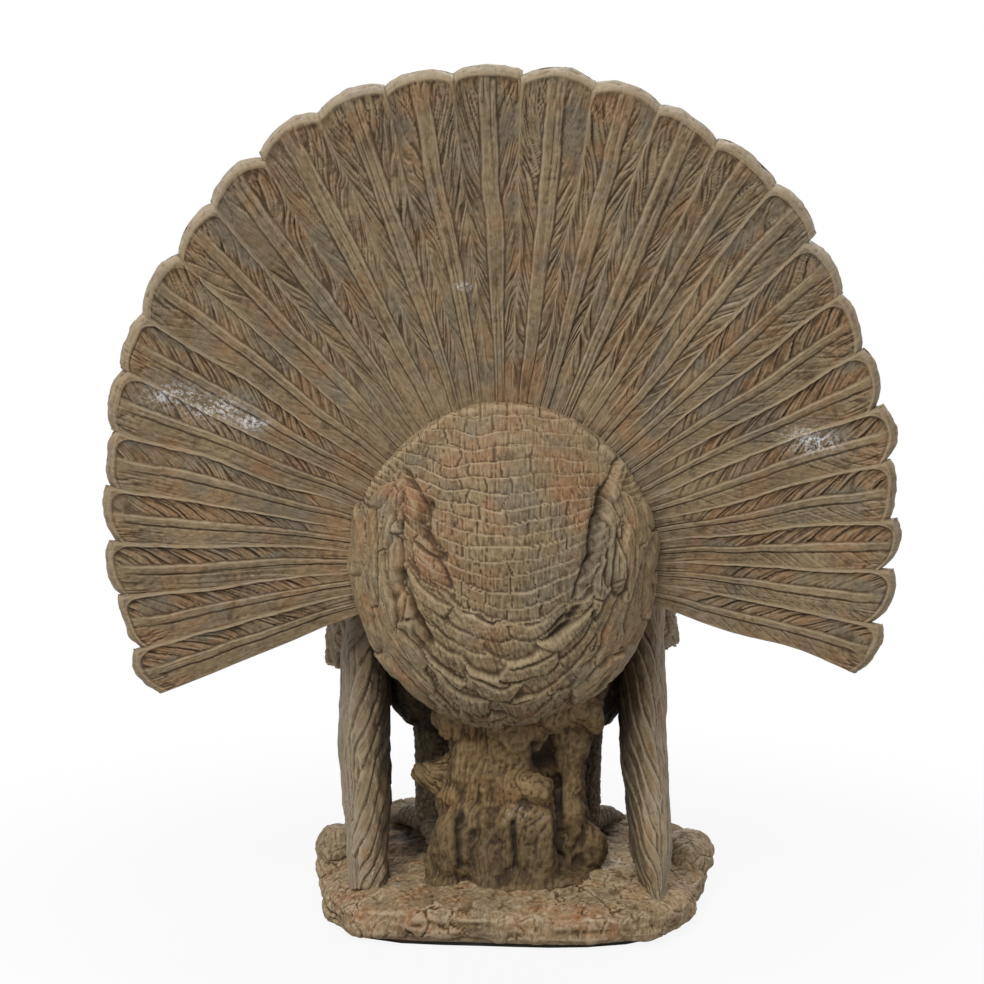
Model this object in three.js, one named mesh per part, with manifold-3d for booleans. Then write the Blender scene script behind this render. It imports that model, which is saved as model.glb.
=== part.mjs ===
// A cast turkey figure with its tail spread, standing on a rocky base against a tree stump.
// Millimetres, +Z up. The bird faces +Y, so its left side is -X. The origin is on the underside
// that the figure stands on, straight below the point that the tail feathers spread from.
import * as THREE from "three";
import { mergeVertices } from "three/addons/utils/BufferGeometryUtils.js";
import Module from "manifold-3d";

const wasm = await Module();
wasm.setup();

// Fit between two castings that are bonded together
const SEAT_GAP = 0.3;

// Rocky base and the felt under it
const FELT_THICKNESS = 2;
const FELT_INSET = 7;
const BASE_HALF_WIDTH = 105.5;
const BASE_HALF_DEPTH = 99;
const BASE_CENTRE_X = 3.8;
const BASE_CENTRE_Y = -6;
const BASE_SQUARENESS = 3.8;
const BASE_RIM_HEIGHT = 19;
const BASE_MOUND = 10;
const BASE_BEVEL = 8;
const BASE_LOBES = [{ count: 3, share: 0.03, turn: -1.88 }, { count: 5, share: 0.016, turn: -0.56 }];
const BASE_SIDES = 32;

// Rocks: where each stands on the base, as a turn and a share of the way to the edge, and its lift and
// half-sizes as shares of the rim's height
const ROCKS = [
  { name: "rock_left", turnDeg: 173, reach: 0.885, lift: 0.05, half: [0.74, 1.05, 0.9] },
  { name: "rock_right", turnDeg: 4, reach: 0.89, lift: -0.02, half: [0.95, 1.37, 0.78] },
  { name: "rock_front", turnDeg: 124, reach: 0.82, lift: 0, half: [1.47, 1.05, 0.79] },
];

// Torso, a hollow egg that is open at the back, where the tail hub closes it
const BODY_AXIS_Z = 194;
const BODY_HALF_WIDTH = 82;
const BODY_HALF_HEIGHT = 87;
const BODY_FRONT_Y = 140;
const BODY_WIDEST_SHARE = 0.44;
const BODY_REAR_SHARE = 0.92;
const BREAST_RISE = 26;
const BODY_WALL = 9;
const CAVITY_SIDES = 24;
const CAVITY_RINGS = 9;

// Breast feathers, lapped in rows from the breast to the tail, and how far the end of each stands out
const BREAST_ROWS = 14;
const BREAST_FEATHERS = 26;
const BREAST_STEP = 2.4;

// Tail fan: feathers that spread from one point, with their tips on a circle
const TAIL_RISE = 7;
const FAN_FACE_Y = -50;
const FAN_RADIUS = 209;
const FAN_CENTRE_X = -2.5;
const FAN_CENTRE_RISE = 47.5;
const FEATHER_COUNT = 27;
const FAN_FROM_DEG = 201.7;
const FAN_TO_DEG = -18;
const FEATHER_ROOT = 45;
const BLADE_AT_ROOT = 12;
const BLADE_AT_TIP = 9;
const EDGE_LIP = 2.4;
const QUILL_RISE = 1.4;
const FAN_DISH = 14;
const RIM_BEVEL = 3.5;
const TIP_NOTCH = 4;

// How much longer each feather is than the circle of tips asks, from the lowest on the left to the lowest on
// the right, as a share of the circle's radius
const FEATHER_TRIM = [
  0.06, 0.032, 0.021, 0.005, -0.01, -0.011, -0.009, -0.012, -0.01, 0, 0.016, 0.017, 0.017,
  0.014, 0.012, 0.018, 0.008, 0.007, 0, -0.021, -0.03, -0.031, -0.013, -0.004, 0.016, 0.036, 0.065,
];

// Hub behind the torso, and the rounded rump of tail coverts that covers the feather roots
const HUB_PLATE = 8;
const HUB_SPIGOT = 9;
const HUB_SIDES = 28;
const RUMP_HALF_WIDTH = 79;
const RUMP_UP = 83;
const RUMP_DOWN = 88;
const RUMP_DEPTH = 54;
const RUMP_SIDES = 24;
const RUMP_RINGS = 7;
const TAIL_PIN_RADIUS = 6;
const TAIL_PIN_LENGTH = 46;

// Wings. Each side has its own tip and covert edge, because the two wings droop unequally.
// A tip is how far out, how far back and how deep below the base's rim the flight feathers would end, as
// shares of the base's half-width, half-depth and rim height, and how thick they are there and on the way, as
// shares of their thickness. A covert's drop and its stand-out from the torso are shares of the torso's
// half-height and half-width.
const WINGS = [
  {
    name: "left", side: -1, covertDrop: 0.736, standOut: 0.195,
    tip: { out: 0.697, back: 0.64, sink: 0.16, thick: 1, foot: 0.72 },
  },
  {
    name: "right", side: 1, covertDrop: 0.62, standOut: 0.16,
    tip: { out: 0.765, back: 0.767, sink: 0.42, thick: 0.9, foot: 0.4 },
  },
];
const PEG_Y = 26;
const PEG_RISE = 18;
const PEG_RADIUS = 5;
const PEG_LENGTH = 20;
const COVERT_THICKNESS = 22;
const COVERT_RISE = 66;
const COVERT_REAR_Y = -16;
const COVERT_FRONT_Y = 82;
const PRIMARY_DROP = 12;
const PRIMARY_INSET = 5.5;
const PRIMARY_Y = 0;
const PRIMARY_HALF_THICKNESS = 14;
const PRIMARY_HALF_BREADTH = 31;

// Legs, each cast round a steel rod that runs from the base up into the thigh
const LEG_SPREAD_SHARE = 0.505;
const LEG_SHIFT_X = 2;
const LEG_Y = 16;
const KNEE_RISE = 7;
const THIGH_RISE = 19;
const THIGH_HALF_WIDTH = 30;
const THIGH_HALF_DEPTH = 32;
const THIGH_HALF_HEIGHT = 38;
const SHANK_RADIUS = 10;
const KNEE_RADIUS = 12;
const ROD_RADIUS = 3;
const ROD_SOCKET = 9;
const TOE_LENGTH = 46;
const HIND_TOE_LENGTH = 23;
const TOE_RADIUS = 6;
const TOE_SPREAD_DEG = 32;

// Neck and head. A point of the neck is how far behind the breast and how far above the torso's axis it is,
// as shares of the head's height above that axis.
const HEAD_BACK = 28;
const HEAD_UP = 160;
const HEAD_HALF_WIDTH = 17;
const HEAD_HALF_LENGTH = 25;
const HEAD_HALF_HEIGHT = 18;
const NECK = [
  { back: 0.3, up: 0.288, radius: 0.238 },
  { back: 0.169, up: 0.538, radius: 0.169 },
  { back: 0.219, up: 0.763, radius: 0.125 },
  { back: 0.231, up: 0.95, radius: 0.1 },
];

// Pieces of the face, as shares of the head's half-length: how far ahead of the face and above its middle
const BEAK = [
  { ahead: -0.32, up: -0.16, radius: 0.4 },
  { ahead: 0.4, up: -0.24, radius: 0.24 },
  { ahead: 0.8, up: -0.6, radius: 0.065 },
];
const SNOOD = [
  { ahead: -0.32, up: 0.4, radius: 0.2 },
  { ahead: 0.32, up: 0.36, radius: 0.22 },
  { ahead: 0.6, up: -0.56, aside: 0.36, radius: 0.18 },
  { ahead: 0.44, up: -1.76, aside: 0.44, radius: 0.12 },
];
const WATTLE = [
  { ahead: -0.64, up: -0.48, radius: 0.28 },
  { ahead: -0.24, up: -1.36, radius: 0.44 },
  { ahead: -0.32, up: -2.48, radius: 0.24 },
];

// Beard on the breast, as shares of its length: how far ahead of the breast and above the torso's axis
const BEARD_LENGTH = 72;
const BEARD = [
  { ahead: -0.167, up: 0.167, radius: 0.083 },
  { ahead: 0.056, up: -0.167, radius: 0.097 },
  { ahead: 0.083, up: -0.833, radius: 0.028 },
];

// Tree stump under the rump. A point of a limb is its x and how far in front of the feathers it is, as shares
// of the stump's radius at the foot, and how high it is, as a share of the way from the base's rim to the
// torso's underside. Radii are shares of that same radius.
const STUMP_FOOT_RADIUS = 37;
const STUMP = [
  {
    name: "stump_trunk",
    sides: 12,
    path: [
      [-0.11, 0.27, -0.1], [-0.11, 0.27, 0.15], [-0.03, 0.32, 0.6], [-0.03, 0.38, 0.92], [-0.05, 0.43, 1.38],
    ],
    radii: [1, 0.92, 0.71, 0.77, 0.88],
  },
  {
    name: "stump_side_trunk",
    path: [[1.06, 0.16, -0.08], [0.96, 0.22, 0.45], [0.96, 0.35, 0.83], [1.24, 0.62, 1.3]],
    radii: [0.4, 0.28, 0.27, 0.33],
  },
  {
    name: "stump_root_left",
    path: [[-0.43, 0.11, 0.45], [-0.84, -0.22, 0.36], [-0.95, -0.35, -0.06]],
    radii: [0.22, 0.19, 0.24],
  },
  {
    name: "stump_root_centre",
    path: [[-0.24, 0, 0.41], [-0.24, -0.38, 0.27], [-0.22, -0.59, -0.08]],
    radii: [0.24, 0.27, 0.35],
  },
  {
    name: "stump_root_right",
    path: [[0.41, -0.24, 0.69], [0.45, -0.36, 0.42], [0.51, -0.49, -0.08]],
    radii: [0.27, 0.24, 0.33],
  },
  {
    name: "stump_broken_branch",
    path: [[-0.38, 0.27, 0.64], [-0.92, 0.19, 0.66], [-1.32, 0.14, 0.7]],
    radii: [0.38, 0.27, 0.04],
  },
];

const RAD = Math.PI / 180;
const X_AXIS = new THREE.Vector3(1, 0, 0);
const Y_AXIS = new THREE.Vector3(0, 1, 0);
const Z_AXIS = new THREE.Vector3(0, 0, 1);
const lerp = THREE.MathUtils.lerp;
const vector = (place) => new THREE.Vector3(...place);

// Finishes
const paint = (color, roughness = 0.72) => new THREE.MeshStandardMaterial({ color, roughness, metalness: 0 });
const plumage = paint(0x7f6a4e);
const rumpBrown = paint(0x806849);
const bark = paint(0x77624a);
const earth = paint(0x8d7355);
const stone = paint(0x77705f);
const horn = paint(0x8a7352);
const feltBlack = paint(0x2b2723, 0.95);
const steel = new THREE.MeshStandardMaterial({ color: 0x9a9a9a, roughness: 0.4, metalness: 1 });

// A three.js geometry as a solid with its faces pointing out
function solidOf(geometry) {
  const bare = new THREE.BufferGeometry().setAttribute("position", geometry.getAttribute("position"));
  if (geometry.index) bare.setIndex(geometry.index);
  const merged = mergeVertices(bare, 1e-4);
  const triVerts = new Uint32Array(merged.index.array);
  const vertProperties = merged.attributes.position.array;
  const made = new wasm.Manifold(new wasm.Mesh({ numProp: 3, vertProperties, triVerts }));
  if (made.volume() > 0) return made;
  triVerts.reverse();
  return new wasm.Manifold(new wasm.Mesh({ numProp: 3, vertProperties, triVerts }));
}

// A closed skin through rings of equally many points, each end closed by a fan about its middle
function skin(rings) {
  const count = rings[0].length;
  const last = rings.length - 1;
  const points = rings.flat();
  const triangles = [];
  for (let r = 0; r < last; r++)
    for (let i = 0; i < count; i++) {
      const next = (i + 1) % count;
      const [a, b, c, d] = [r * count + i, r * count + next, (r + 1) * count + next, (r + 1) * count + i];
      triangles.push(a, b, c, a, c, d);
    }
  for (const end of [0, last]) {
    const middle = new THREE.Vector3();
    rings[end].forEach((point) => middle.addScaledVector(point, 1 / count));
    const hub = points.push(middle) - 1;
    for (let i = 0; i < count; i++) {
      const [a, b] = [end * count + i, end * count + ((i + 1) % count)];
      if (end) triangles.push(a, b, hub);
      else triangles.push(b, a, hub);
    }
  }
  return solidOf(new THREE.BufferGeometry().setFromPoints(points).setIndex(triangles));
}

// A ring of points round a centre: an ellipse at squareness 2, squarer above it
function ring(centre, across, along, halfAcross, halfAlong, sides, squareness = 2) {
  const power = 2 / squareness;
  return Array.from({ length: sides }, (_, i) => {
    const turn = (2 * Math.PI * i) / sides;
    const [c, s] = [Math.cos(turn), Math.sin(turn)];
    return centre
      .clone()
      .addScaledVector(across, halfAcross * Math.sign(c) * Math.abs(c) ** power)
      .addScaledVector(along, halfAlong * Math.sign(s) * Math.abs(s) ** power);
  });
}

// A tapering limb along a smooth curve, with a radius at each of the points it passes
function limb(path, radii, grow = 0, sides = 8, stepsPerSpan = 2) {
  const curve = new THREE.CatmullRomCurve3(path.map(vector));
  const steps = stepsPerSpan * (path.length - 1);
  const frames = curve.computeFrenetFrames(steps);
  const rings = Array.from({ length: steps + 1 }, (_, i) => {
    const share = i / steps;
    const span = share * (path.length - 1);
    const from = Math.min(Math.floor(span), path.length - 2);
    const radius = lerp(radii[from], radii[from + 1], span - from) + grow;
    return ring(curve.getPoint(share), frames.normals[i], frames.binormals[i], radius, radius, sides);
  });
  return skin(rings);
}

// A rounded blob with its own half-size on each axis
function blob(centre, half, grow = 0, sides = 12) {
  const geometry = new THREE.SphereGeometry(1, sides, Math.round(sides * 0.7));
  geometry.scale(...half.map((size) => size + grow));
  geometry.translate(...centre);
  return solidOf(geometry);
}

// A round pin between two points on a line along one axis
function pin(radius, from, to, sides = 12) {
  const [start, end] = [vector(from), vector(to)];
  const run = end.clone().sub(start);
  const geometry = new THREE.CylinderGeometry(radius, radius, run.length(), sides);
  geometry.applyQuaternion(new THREE.Quaternion().setFromUnitVectors(Y_AXIS, run.clone().normalize()));
  geometry.translate(...start.add(end).multiplyScalar(0.5).toArray());
  return solidOf(geometry);
}

// What is left of a solid when its neighbours, each already grown by the gap, are cut away
function cutBy(solid, ...neighbours) {
  const rest = neighbours.reduce((kept, neighbour) => kept.subtract(neighbour), solid);
  return rest.decompose().sort((a, b) => b.volume() - a.volume())[0];
}

// A solid as a named mesh
function piece(name, solid, material) {
  const { numVert, numProp, vertProperties, triVerts } = solid.getMesh();
  const position = new Float32Array(numVert * 3);
  for (let i = 0; i < numVert; i++) {
    position.set(vertProperties.subarray(i * numProp, i * numProp + 3), i * 3);
  }
  const geometry = new THREE.BufferGeometry();
  geometry.setAttribute("position", new THREE.BufferAttribute(position, 3));
  geometry.setIndex(new THREE.BufferAttribute(triVerts, 1));
  const mesh = new THREE.Mesh(geometry, material.clone());
  mesh.name = name;
  return mesh;
}

// Levels that the pieces share
const BASE_RIM_Z = FELT_THICKNESS + BASE_RIM_HEIGHT;
const TAIL_Z = BODY_AXIS_Z + TAIL_RISE;
const UNDERSIDE_Z = BODY_AXIS_Z - BODY_HALF_HEIGHT;
const HUB_REAR_Y = FAN_FACE_Y + SEAT_GAP;
const HUB_FRONT_Y = HUB_REAR_Y + HUB_PLATE;
const BODY_REAR_Y = HUB_FRONT_Y + SEAT_GAP;
const BOSS_REAR_Y = FAN_FACE_Y - BLADE_AT_ROOT - QUILL_RISE;
const RUMP_FACE_Y = BOSS_REAR_Y - SEAT_GAP;

// Base: an uneven oval slab with a low mound on top
function baseOutline(turn, inset = 0) {
  const [c, s] = [Math.abs(Math.cos(turn)), Math.abs(Math.sin(turn))];
  const [halfX, halfY] = [BASE_HALF_WIDTH - inset, BASE_HALF_DEPTH - inset];
  const sum = (c / halfX) ** BASE_SQUARENESS + (s / halfY) ** BASE_SQUARENESS;
  const lobes = BASE_LOBES.reduce((total, l) => total + l.share * Math.cos(l.count * turn + l.turn), 0);
  return sum ** (-1 / BASE_SQUARENESS) + BASE_HALF_WIDTH * lobes;
}

function baseRing(z, share, inset) {
  return Array.from({ length: BASE_SIDES }, (_, i) => {
    const turn = (2 * Math.PI * i) / BASE_SIDES;
    const reach = share * baseOutline(turn, inset);
    const [x, y] = [reach * Math.cos(turn), reach * Math.sin(turn)];
    return new THREE.Vector3(BASE_CENTRE_X + x, BASE_CENTRE_Y + y, z);
  });
}

function baseSlab(grow = 0) {
  const bevel = BASE_BEVEL / 2;
  const mound = [[0.5, 0.72], [0.9, 0.4], [1, 0.12]];
  return skin([
    baseRing(FELT_THICKNESS, 1, bevel - grow),
    baseRing(FELT_THICKNESS + bevel, 1, -grow),
    baseRing(BASE_RIM_Z - bevel, 1, -grow),
    baseRing(BASE_RIM_Z + grow, 1, BASE_BEVEL - grow),
    ...mound.map(([rise, share]) => baseRing(BASE_RIM_Z + BASE_MOUND * rise + grow, share)),
  ]);
}

const feltPad = () => skin([0, FELT_THICKNESS].map((z) => baseRing(z, 1, FELT_INSET)));

function rock({ turnDeg, reach, lift, half }) {
  const turn = turnDeg * RAD;
  const away = reach * baseOutline(turn);
  const [x, y] = [BASE_CENTRE_X + away * Math.cos(turn), BASE_CENTRE_Y + away * Math.sin(turn)];
  const halfSizes = half.map((share) => share * BASE_RIM_HEIGHT);
  return blob([x, y, BASE_RIM_Z + lift * BASE_RIM_HEIGHT], halfSizes, 0, 10);
}

// Torso: an egg along Y, whose axis rises towards the breast
function bodyShare(t) {
  const [widest, rear] = [BODY_WIDEST_SHARE, BODY_REAR_SHARE];
  if (t < widest) return Math.sqrt(1 - (1 - rear ** 2) * ((widest - t) / widest) ** 2);
  return Math.sqrt(1 - ((t - widest) / (1 - widest)) ** 2);
}

const bodyAxis = (t) => BODY_AXIS_Z + BREAST_RISE * t * t;
const bodyWay = (share) => 0.995 * Math.sin(share * (Math.PI / 2));

// A ring of the torso at a share of the way from its rear to its breast
function bodyRing(t, grow, sides, y = lerp(BODY_REAR_Y, BODY_FRONT_Y + grow, t)) {
  const [halfX, halfZ] = [BODY_HALF_WIDTH, BODY_HALF_HEIGHT].map((half) => half * bodyShare(t) + grow);
  return ring(new THREE.Vector3(0, y, bodyAxis(t)), X_AXIS, Z_AXIS, halfX, halfZ, sides);
}

function bodyCavity() {
  const shares = Array.from({ length: CAVITY_RINGS }, (_, i) => (i + 1) / CAVITY_RINGS);
  const rear = bodyRing(0, -BODY_WALL, CAVITY_SIDES, BODY_REAR_Y - BODY_WALL);
  return skin([rear, ...shares.map((share) => bodyRing(bodyWay(share), -BODY_WALL, CAVITY_SIDES))]);
}

// How far a breast feather stands out: more and more towards its end, where the step down to the next one is.
// In every other row the feathers lie half a feather further round.
function breastRise(row, column) {
  const lap = (row - (column % 2)) / 2;
  return BREAST_STEP * (lap - Math.floor(lap)) * Math.min(1, row, BREAST_ROWS - row);
}

// The torso's outside, with a ring just before and one just after the end of each row of feathers
function bodyEgg(grow = 0) {
  const lip = 0.07;
  const front = (BODY_FRONT_Y - BODY_REAR_Y) * (1 - BODY_WIDEST_SHARE) ** 2;
  const rows = [BREAST_ROWS];
  for (let row = BREAST_ROWS - 1; row > 0; row--) rows.push(row + lip, row - lip);
  rows.push(0);
  const rings = rows.map((row) => {
    const t = bodyWay(1 - row / BREAST_ROWS);
    const ahead = Math.max(0, t - BODY_WIDEST_SHARE) / front;
    return bodyRing(t, grow, 2 * BREAST_FEATHERS).map((point, column) => {
      const [x, z] = [point.x / BODY_HALF_WIDTH ** 2, (point.z - bodyAxis(t)) / BODY_HALF_HEIGHT ** 2];
      return point.addScaledVector(new THREE.Vector3(x, ahead, z).normalize(), breastRise(row, column));
    });
  });
  return skin(rings);
}

// Tail fan: each feather's lower edge tucks under the raised upper edge of the feather below it
const FEATHER_STEP_DEG = (FAN_TO_DEG - FAN_FROM_DEG) / FEATHER_COUNT;
const FRONT_SHARES = [1, 0.8, 0.2, 0];
const FEATHER_STATIONS = [
  { along: 0, relief: 0 }, { along: 0.3, relief: 0.5 }, { along: 0.62, relief: 1 },
  { along: 0.9, relief: 1 }, { along: 0.965, relief: 1 }, { along: 1, relief: 0 },
];

// Back of a feather from the edge that tucks under to the raised one, as shares of its width and of
// QUILL_RISE: a plain vane, the flat quill, a sunk vane and the lip
const VANE = [
  { at: 0, rise: 0 }, { at: 0.38, rise: 0 }, { at: 0.41, rise: 0.5 }, { at: 0.56, rise: 0.5 },
  { at: 0.6, rise: -0.7 }, { at: 0.89, rise: -0.7 }, { at: 0.965, rise: 0.65 }, { at: 1, rise: 0 },
];

// Points across a feather's back. The middle feather is raised at both edges.
function vanePoints(index) {
  const middle = (FEATHER_COUNT - 1) / 2;
  if (index < middle) return VANE.map(({ at, rise }) => ({ share: at, tilt: at - 0.4, rise }));
  if (index > middle) return VANE.map(({ at, rise }) => ({ share: 1 - at, tilt: at - 0.4, rise })).reverse();
  const upper = VANE.filter(({ at }) => at > 0.5);
  const right = upper.map(({ at, rise }) => ({ share: at, tilt: 0.5 - at, rise }));
  return [...right.map((point) => ({ ...point, share: 1 - point.share })).reverse(), ...right];
}

// Distance from the feathers' common root to the circle of their tips, along a direction
function fanReach(turn) {
  const along = -FAN_CENTRE_X * Math.cos(turn) - FAN_CENTRE_RISE * Math.sin(turn);
  return -along + Math.sqrt(along ** 2 + FAN_RADIUS ** 2 - FAN_CENTRE_X ** 2 - FAN_CENTRE_RISE ** 2);
}

// How far the fan bends back at a radius, from flat under the rump to its full dish at the circle
function fanDish(radius) {
  const flat = Math.max(RUMP_UP, RUMP_DOWN, RUMP_HALF_WIDTH);
  return FAN_DISH * Math.max(0, (radius - flat) / (FAN_RADIUS - flat)) ** 2;
}

function featherSolid(index) {
  const from = FAN_FROM_DEG + index * FEATHER_STEP_DEG;
  const extra = FEATHER_TRIM[index] * FAN_RADIUS;
  const sideways = THREE.MathUtils.smoothstep(Math.abs(index - (FEATHER_COUNT - 1) / 2), 2.5, 7.5);
  const place = (share, along, thickness, bevel) => {
    const turn = (from + share * FEATHER_STEP_DEG) * RAD;
    const notch = TIP_NOTCH * Math.abs(2 * share - 1) ** 2.4;
    const radius = lerp(FEATHER_ROOT, fanReach(turn) + extra - notch - bevel, along);
    const angle = turn - ((SEAT_GAP / 2) * (1 - 2 * share)) / radius;
    const y = FAN_FACE_Y - fanDish(radius) - thickness;
    return new THREE.Vector3(radius * Math.cos(angle), y, TAIL_Z + radius * Math.sin(angle));
  };
  const rings = FEATHER_STATIONS.map(({ along, relief }) => [
    ...vanePoints(index).map(({ share, tilt, rise }) => {
      const carved = QUILL_RISE * relief * rise * (rise < 0 ? lerp(0.35, 1, sideways) : 1);
      const blade = lerp(BLADE_AT_ROOT, BLADE_AT_TIP, along) + EDGE_LIP * along * tilt + carved;
      return place(share, along, blade, along === 1 ? RIM_BEVEL : 0);
    }),
    ...FRONT_SHARES.map((share) => place(share, along, 0, 0)),
  ]);
  return skin(rings);
}

// Hub: a plate behind the torso with a spigot into it, a boss that the feathers meet, and a filling
// below the fan
function hubDisc(halfX, halfZ, z, rearY, frontY) {
  const centres = [rearY, frontY].map((y) => new THREE.Vector3(0, y, z));
  return skin(centres.map((centre) => ring(centre, X_AXIS, Z_AXIS, halfX, halfZ, HUB_SIDES)));
}

function hubFilling(grow) {
  const edge = (SEAT_GAP - grow) / FEATHER_ROOT;
  const [start, end] = [FAN_FROM_DEG * RAD + edge, (360 + FAN_TO_DEG) * RAD - edge];
  const shape = new THREE.Shape();
  shape.moveTo(0, 0);
  shape.absarc(0, 0, RUMP_HALF_WIDTH + grow, start, end, false);
  const depth = HUB_FRONT_Y - BOSS_REAR_Y + 2 * grow;
  const options = { depth, bevelEnabled: false, curveSegments: HUB_SIDES / 2 };
  const geometry = new THREE.ExtrudeGeometry(shape, options);
  geometry.rotateX(Math.PI / 2);
  geometry.translate(0, HUB_FRONT_Y + grow, TAIL_Z);
  return solidOf(geometry);
}

function hubSolid(grow = 0) {
  const [rearX, rearZ] = [BODY_HALF_WIDTH * BODY_REAR_SHARE, BODY_HALF_HEIGHT * BODY_REAR_SHARE];
  const inset = BODY_WALL + SEAT_GAP - grow;
  const bossRadius = FEATHER_ROOT - SEAT_GAP + grow;
  const plate = hubDisc(rearX + grow, rearZ + grow, BODY_AXIS_Z, HUB_REAR_Y - grow, HUB_FRONT_Y + grow);
  const boss = hubDisc(bossRadius, bossRadius, TAIL_Z, BOSS_REAR_Y - grow, HUB_FRONT_Y);
  const spigotEnd = HUB_FRONT_Y + HUB_SPIGOT + grow;
  const spigot = hubDisc(rearX - inset, rearZ - inset, BODY_AXIS_Z, HUB_REAR_Y, spigotEnd);
  return plate.add(boss).add(spigot).add(hubFilling(grow));
}

function tailPin(grow = 0) {
  const front = HUB_FRONT_Y + HUB_SPIGOT / 2;
  return pin(TAIL_PIN_RADIUS + grow, [0, front - TAIL_PIN_LENGTH - grow, TAIL_Z], [0, front + grow, TAIL_Z]);
}

// Rump: a dome whose flat front closes over the feather roots
function rumpDome(grow = 0) {
  const crown = 0.985 * (Math.PI / 2);
  const rings = Array.from({ length: RUMP_RINGS + 1 }, (_, i) => {
    const turn = (i / RUMP_RINGS) * crown;
    const share = Math.cos(turn);
    const y = i ? RUMP_FACE_Y - (RUMP_DEPTH + grow) * Math.sin(turn) : RUMP_FACE_Y + grow;
    const centre = new THREE.Vector3(0, y, TAIL_Z);
    const [half, up, down] = [RUMP_HALF_WIDTH, RUMP_UP, RUMP_DOWN].map((size) => (size + grow) * share);
    const above = ring(centre, X_AXIS, Z_AXIS, half, up, RUMP_SIDES);
    const below = ring(centre, X_AXIS, Z_AXIS, half, down, RUMP_SIDES);
    return above.map((point, side) => (point.z < TAIL_Z ? below[side] : point));
  });
  return skin(rings);
}

// Flight feathers of a wing: one drooping blade from under the coverts down and back to the base.
// Shares run from its top, where it starts on the flank, to its tip.
const PRIMARY_STATIONS = [
  { down: 0, out: 0, back: 0, thick: 0.8, broad: 0.9 },
  { down: 0.28, out: 0, back: 0.05, thick: 0.95, broad: 1 },
  { down: 0.58, out: 0, back: 0.34, thick: 1, broad: 0.85 },
  { down: 0.82, out: 0.6, back: 0.7, thick: 0.84, broad: 0.62 },
  { down: 1, out: 1, back: 1, broad: 0.34 },
];

function primaryBlade({ side, tip }, grow = 0) {
  const flank = BODY_HALF_WIDTH - PRIMARY_INSET;
  const [tipX, tipY] = [tip.out * BASE_HALF_WIDTH, -tip.back * BASE_HALF_DEPTH];
  const [topZ, tipZ] = [BODY_AXIS_Z - PRIMARY_DROP, BASE_RIM_Z - tip.sink * BASE_RIM_HEIGHT];
  const places = PRIMARY_STATIONS.map(({ down, out, back }) => {
    const x = side * lerp(flank, tipX, out);
    return new THREE.Vector3(x, lerp(PRIMARY_Y, tipY, back), lerp(topZ, tipZ, down));
  });
  const curve = new THREE.CatmullRomCurve3(places);
  const spans = PRIMARY_STATIONS.length - 1;
  const thickAt = (i) => PRIMARY_HALF_THICKNESS * tip.thick * (PRIMARY_STATIONS[i].thick ?? tip.foot);
  const broadAt = (i) => PRIMARY_HALF_BREADTH * PRIMARY_STATIONS[i].broad;
  const rings = Array.from({ length: 2 * spans + 1 }, (_, i) => {
    const [from, to] = [Math.floor(i / 2), Math.ceil(i / 2)];
    const thick = (thickAt(from) + thickAt(to)) / 2 + grow;
    const broad = (broadAt(from) + broadAt(to)) / 2 + grow;
    const share = i / (2 * spans);
    const breadth = new THREE.Vector3().crossVectors(X_AXIS, curve.getTangent(share)).normalize();
    return ring(curve.getPoint(share), X_AXIS, breadth, thick, broad, 14, 2.4);
  });
  return skin(rings);
}

// Coverts of a wing: a shield on the flank, whose lower edge stands out over the flight feathers.
// Shares are of its height and of its depth, and in is how far its face draws in there, as a share of its
// thickness.
const COVERT_LEVELS = [
  { up: 0, in: 0, rear: 0.03, front: 0.3 },
  { up: 0.25, in: 0.14, rear: 0, front: 0.14 },
  { up: 0.52, in: 0.05, rear: 0.02, front: 0.02 },
  { up: 0.8, in: 0.36, rear: 0.14, front: 0 },
  { up: 1, in: 1.09, rear: 0.38, front: 0.12 },
];

function covertShield({ side, covertDrop, standOut }, grow = 0) {
  const face = BODY_HALF_WIDTH * (1 + standOut);
  const depth = COVERT_FRONT_Y - COVERT_REAR_Y;
  const rings = COVERT_LEVELS.map((level) => {
    const [rearY, frontY] = [COVERT_REAR_Y + level.rear * depth, COVERT_FRONT_Y - level.front * depth];
    const x = side * (face - (1 + level.in) * COVERT_THICKNESS);
    const z = BODY_AXIS_Z + lerp(-covertDrop * BODY_HALF_HEIGHT, COVERT_RISE, level.up);
    const centre = new THREE.Vector3(x, (rearY + frontY) / 2, z);
    return ring(centre, X_AXIS, Y_AXIS, COVERT_THICKNESS + grow, (frontY - rearY) / 2 + grow, 18, 2.6);
  });
  return skin(rings);
}

function wingPeg({ side, standOut }, grow = 0) {
  const outer = BODY_HALF_WIDTH * (1 + standOut / 2);
  const ends = [outer - PEG_LENGTH - grow, outer + grow];
  const [from, to] = ends.map((x) => [side * x, PEG_Y, BODY_AXIS_Z + PEG_RISE]);
  return pin(PEG_RADIUS + grow, from, to);
}

// Legs
const KNEE_Z = UNDERSIDE_Z + KNEE_RISE;
const legX = ({ side }) => LEG_SHIFT_X + side * LEG_SPREAD_SHARE * BODY_HALF_WIDTH;
const thigh = (leg, grow = 0) => {
  const half = [THIGH_HALF_WIDTH, THIGH_HALF_DEPTH, THIGH_HALF_HEIGHT];
  return blob([legX(leg), LEG_Y, UNDERSIDE_Z + THIGH_RISE], half, grow);
};

function legRod(leg, grow = 0) {
  const bottom = BASE_RIM_Z - ROD_SOCKET - grow;
  return pin(ROD_RADIUS + grow, [legX(leg), LEG_Y, bottom], [legX(leg), LEG_Y, KNEE_Z + grow]);
}

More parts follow.
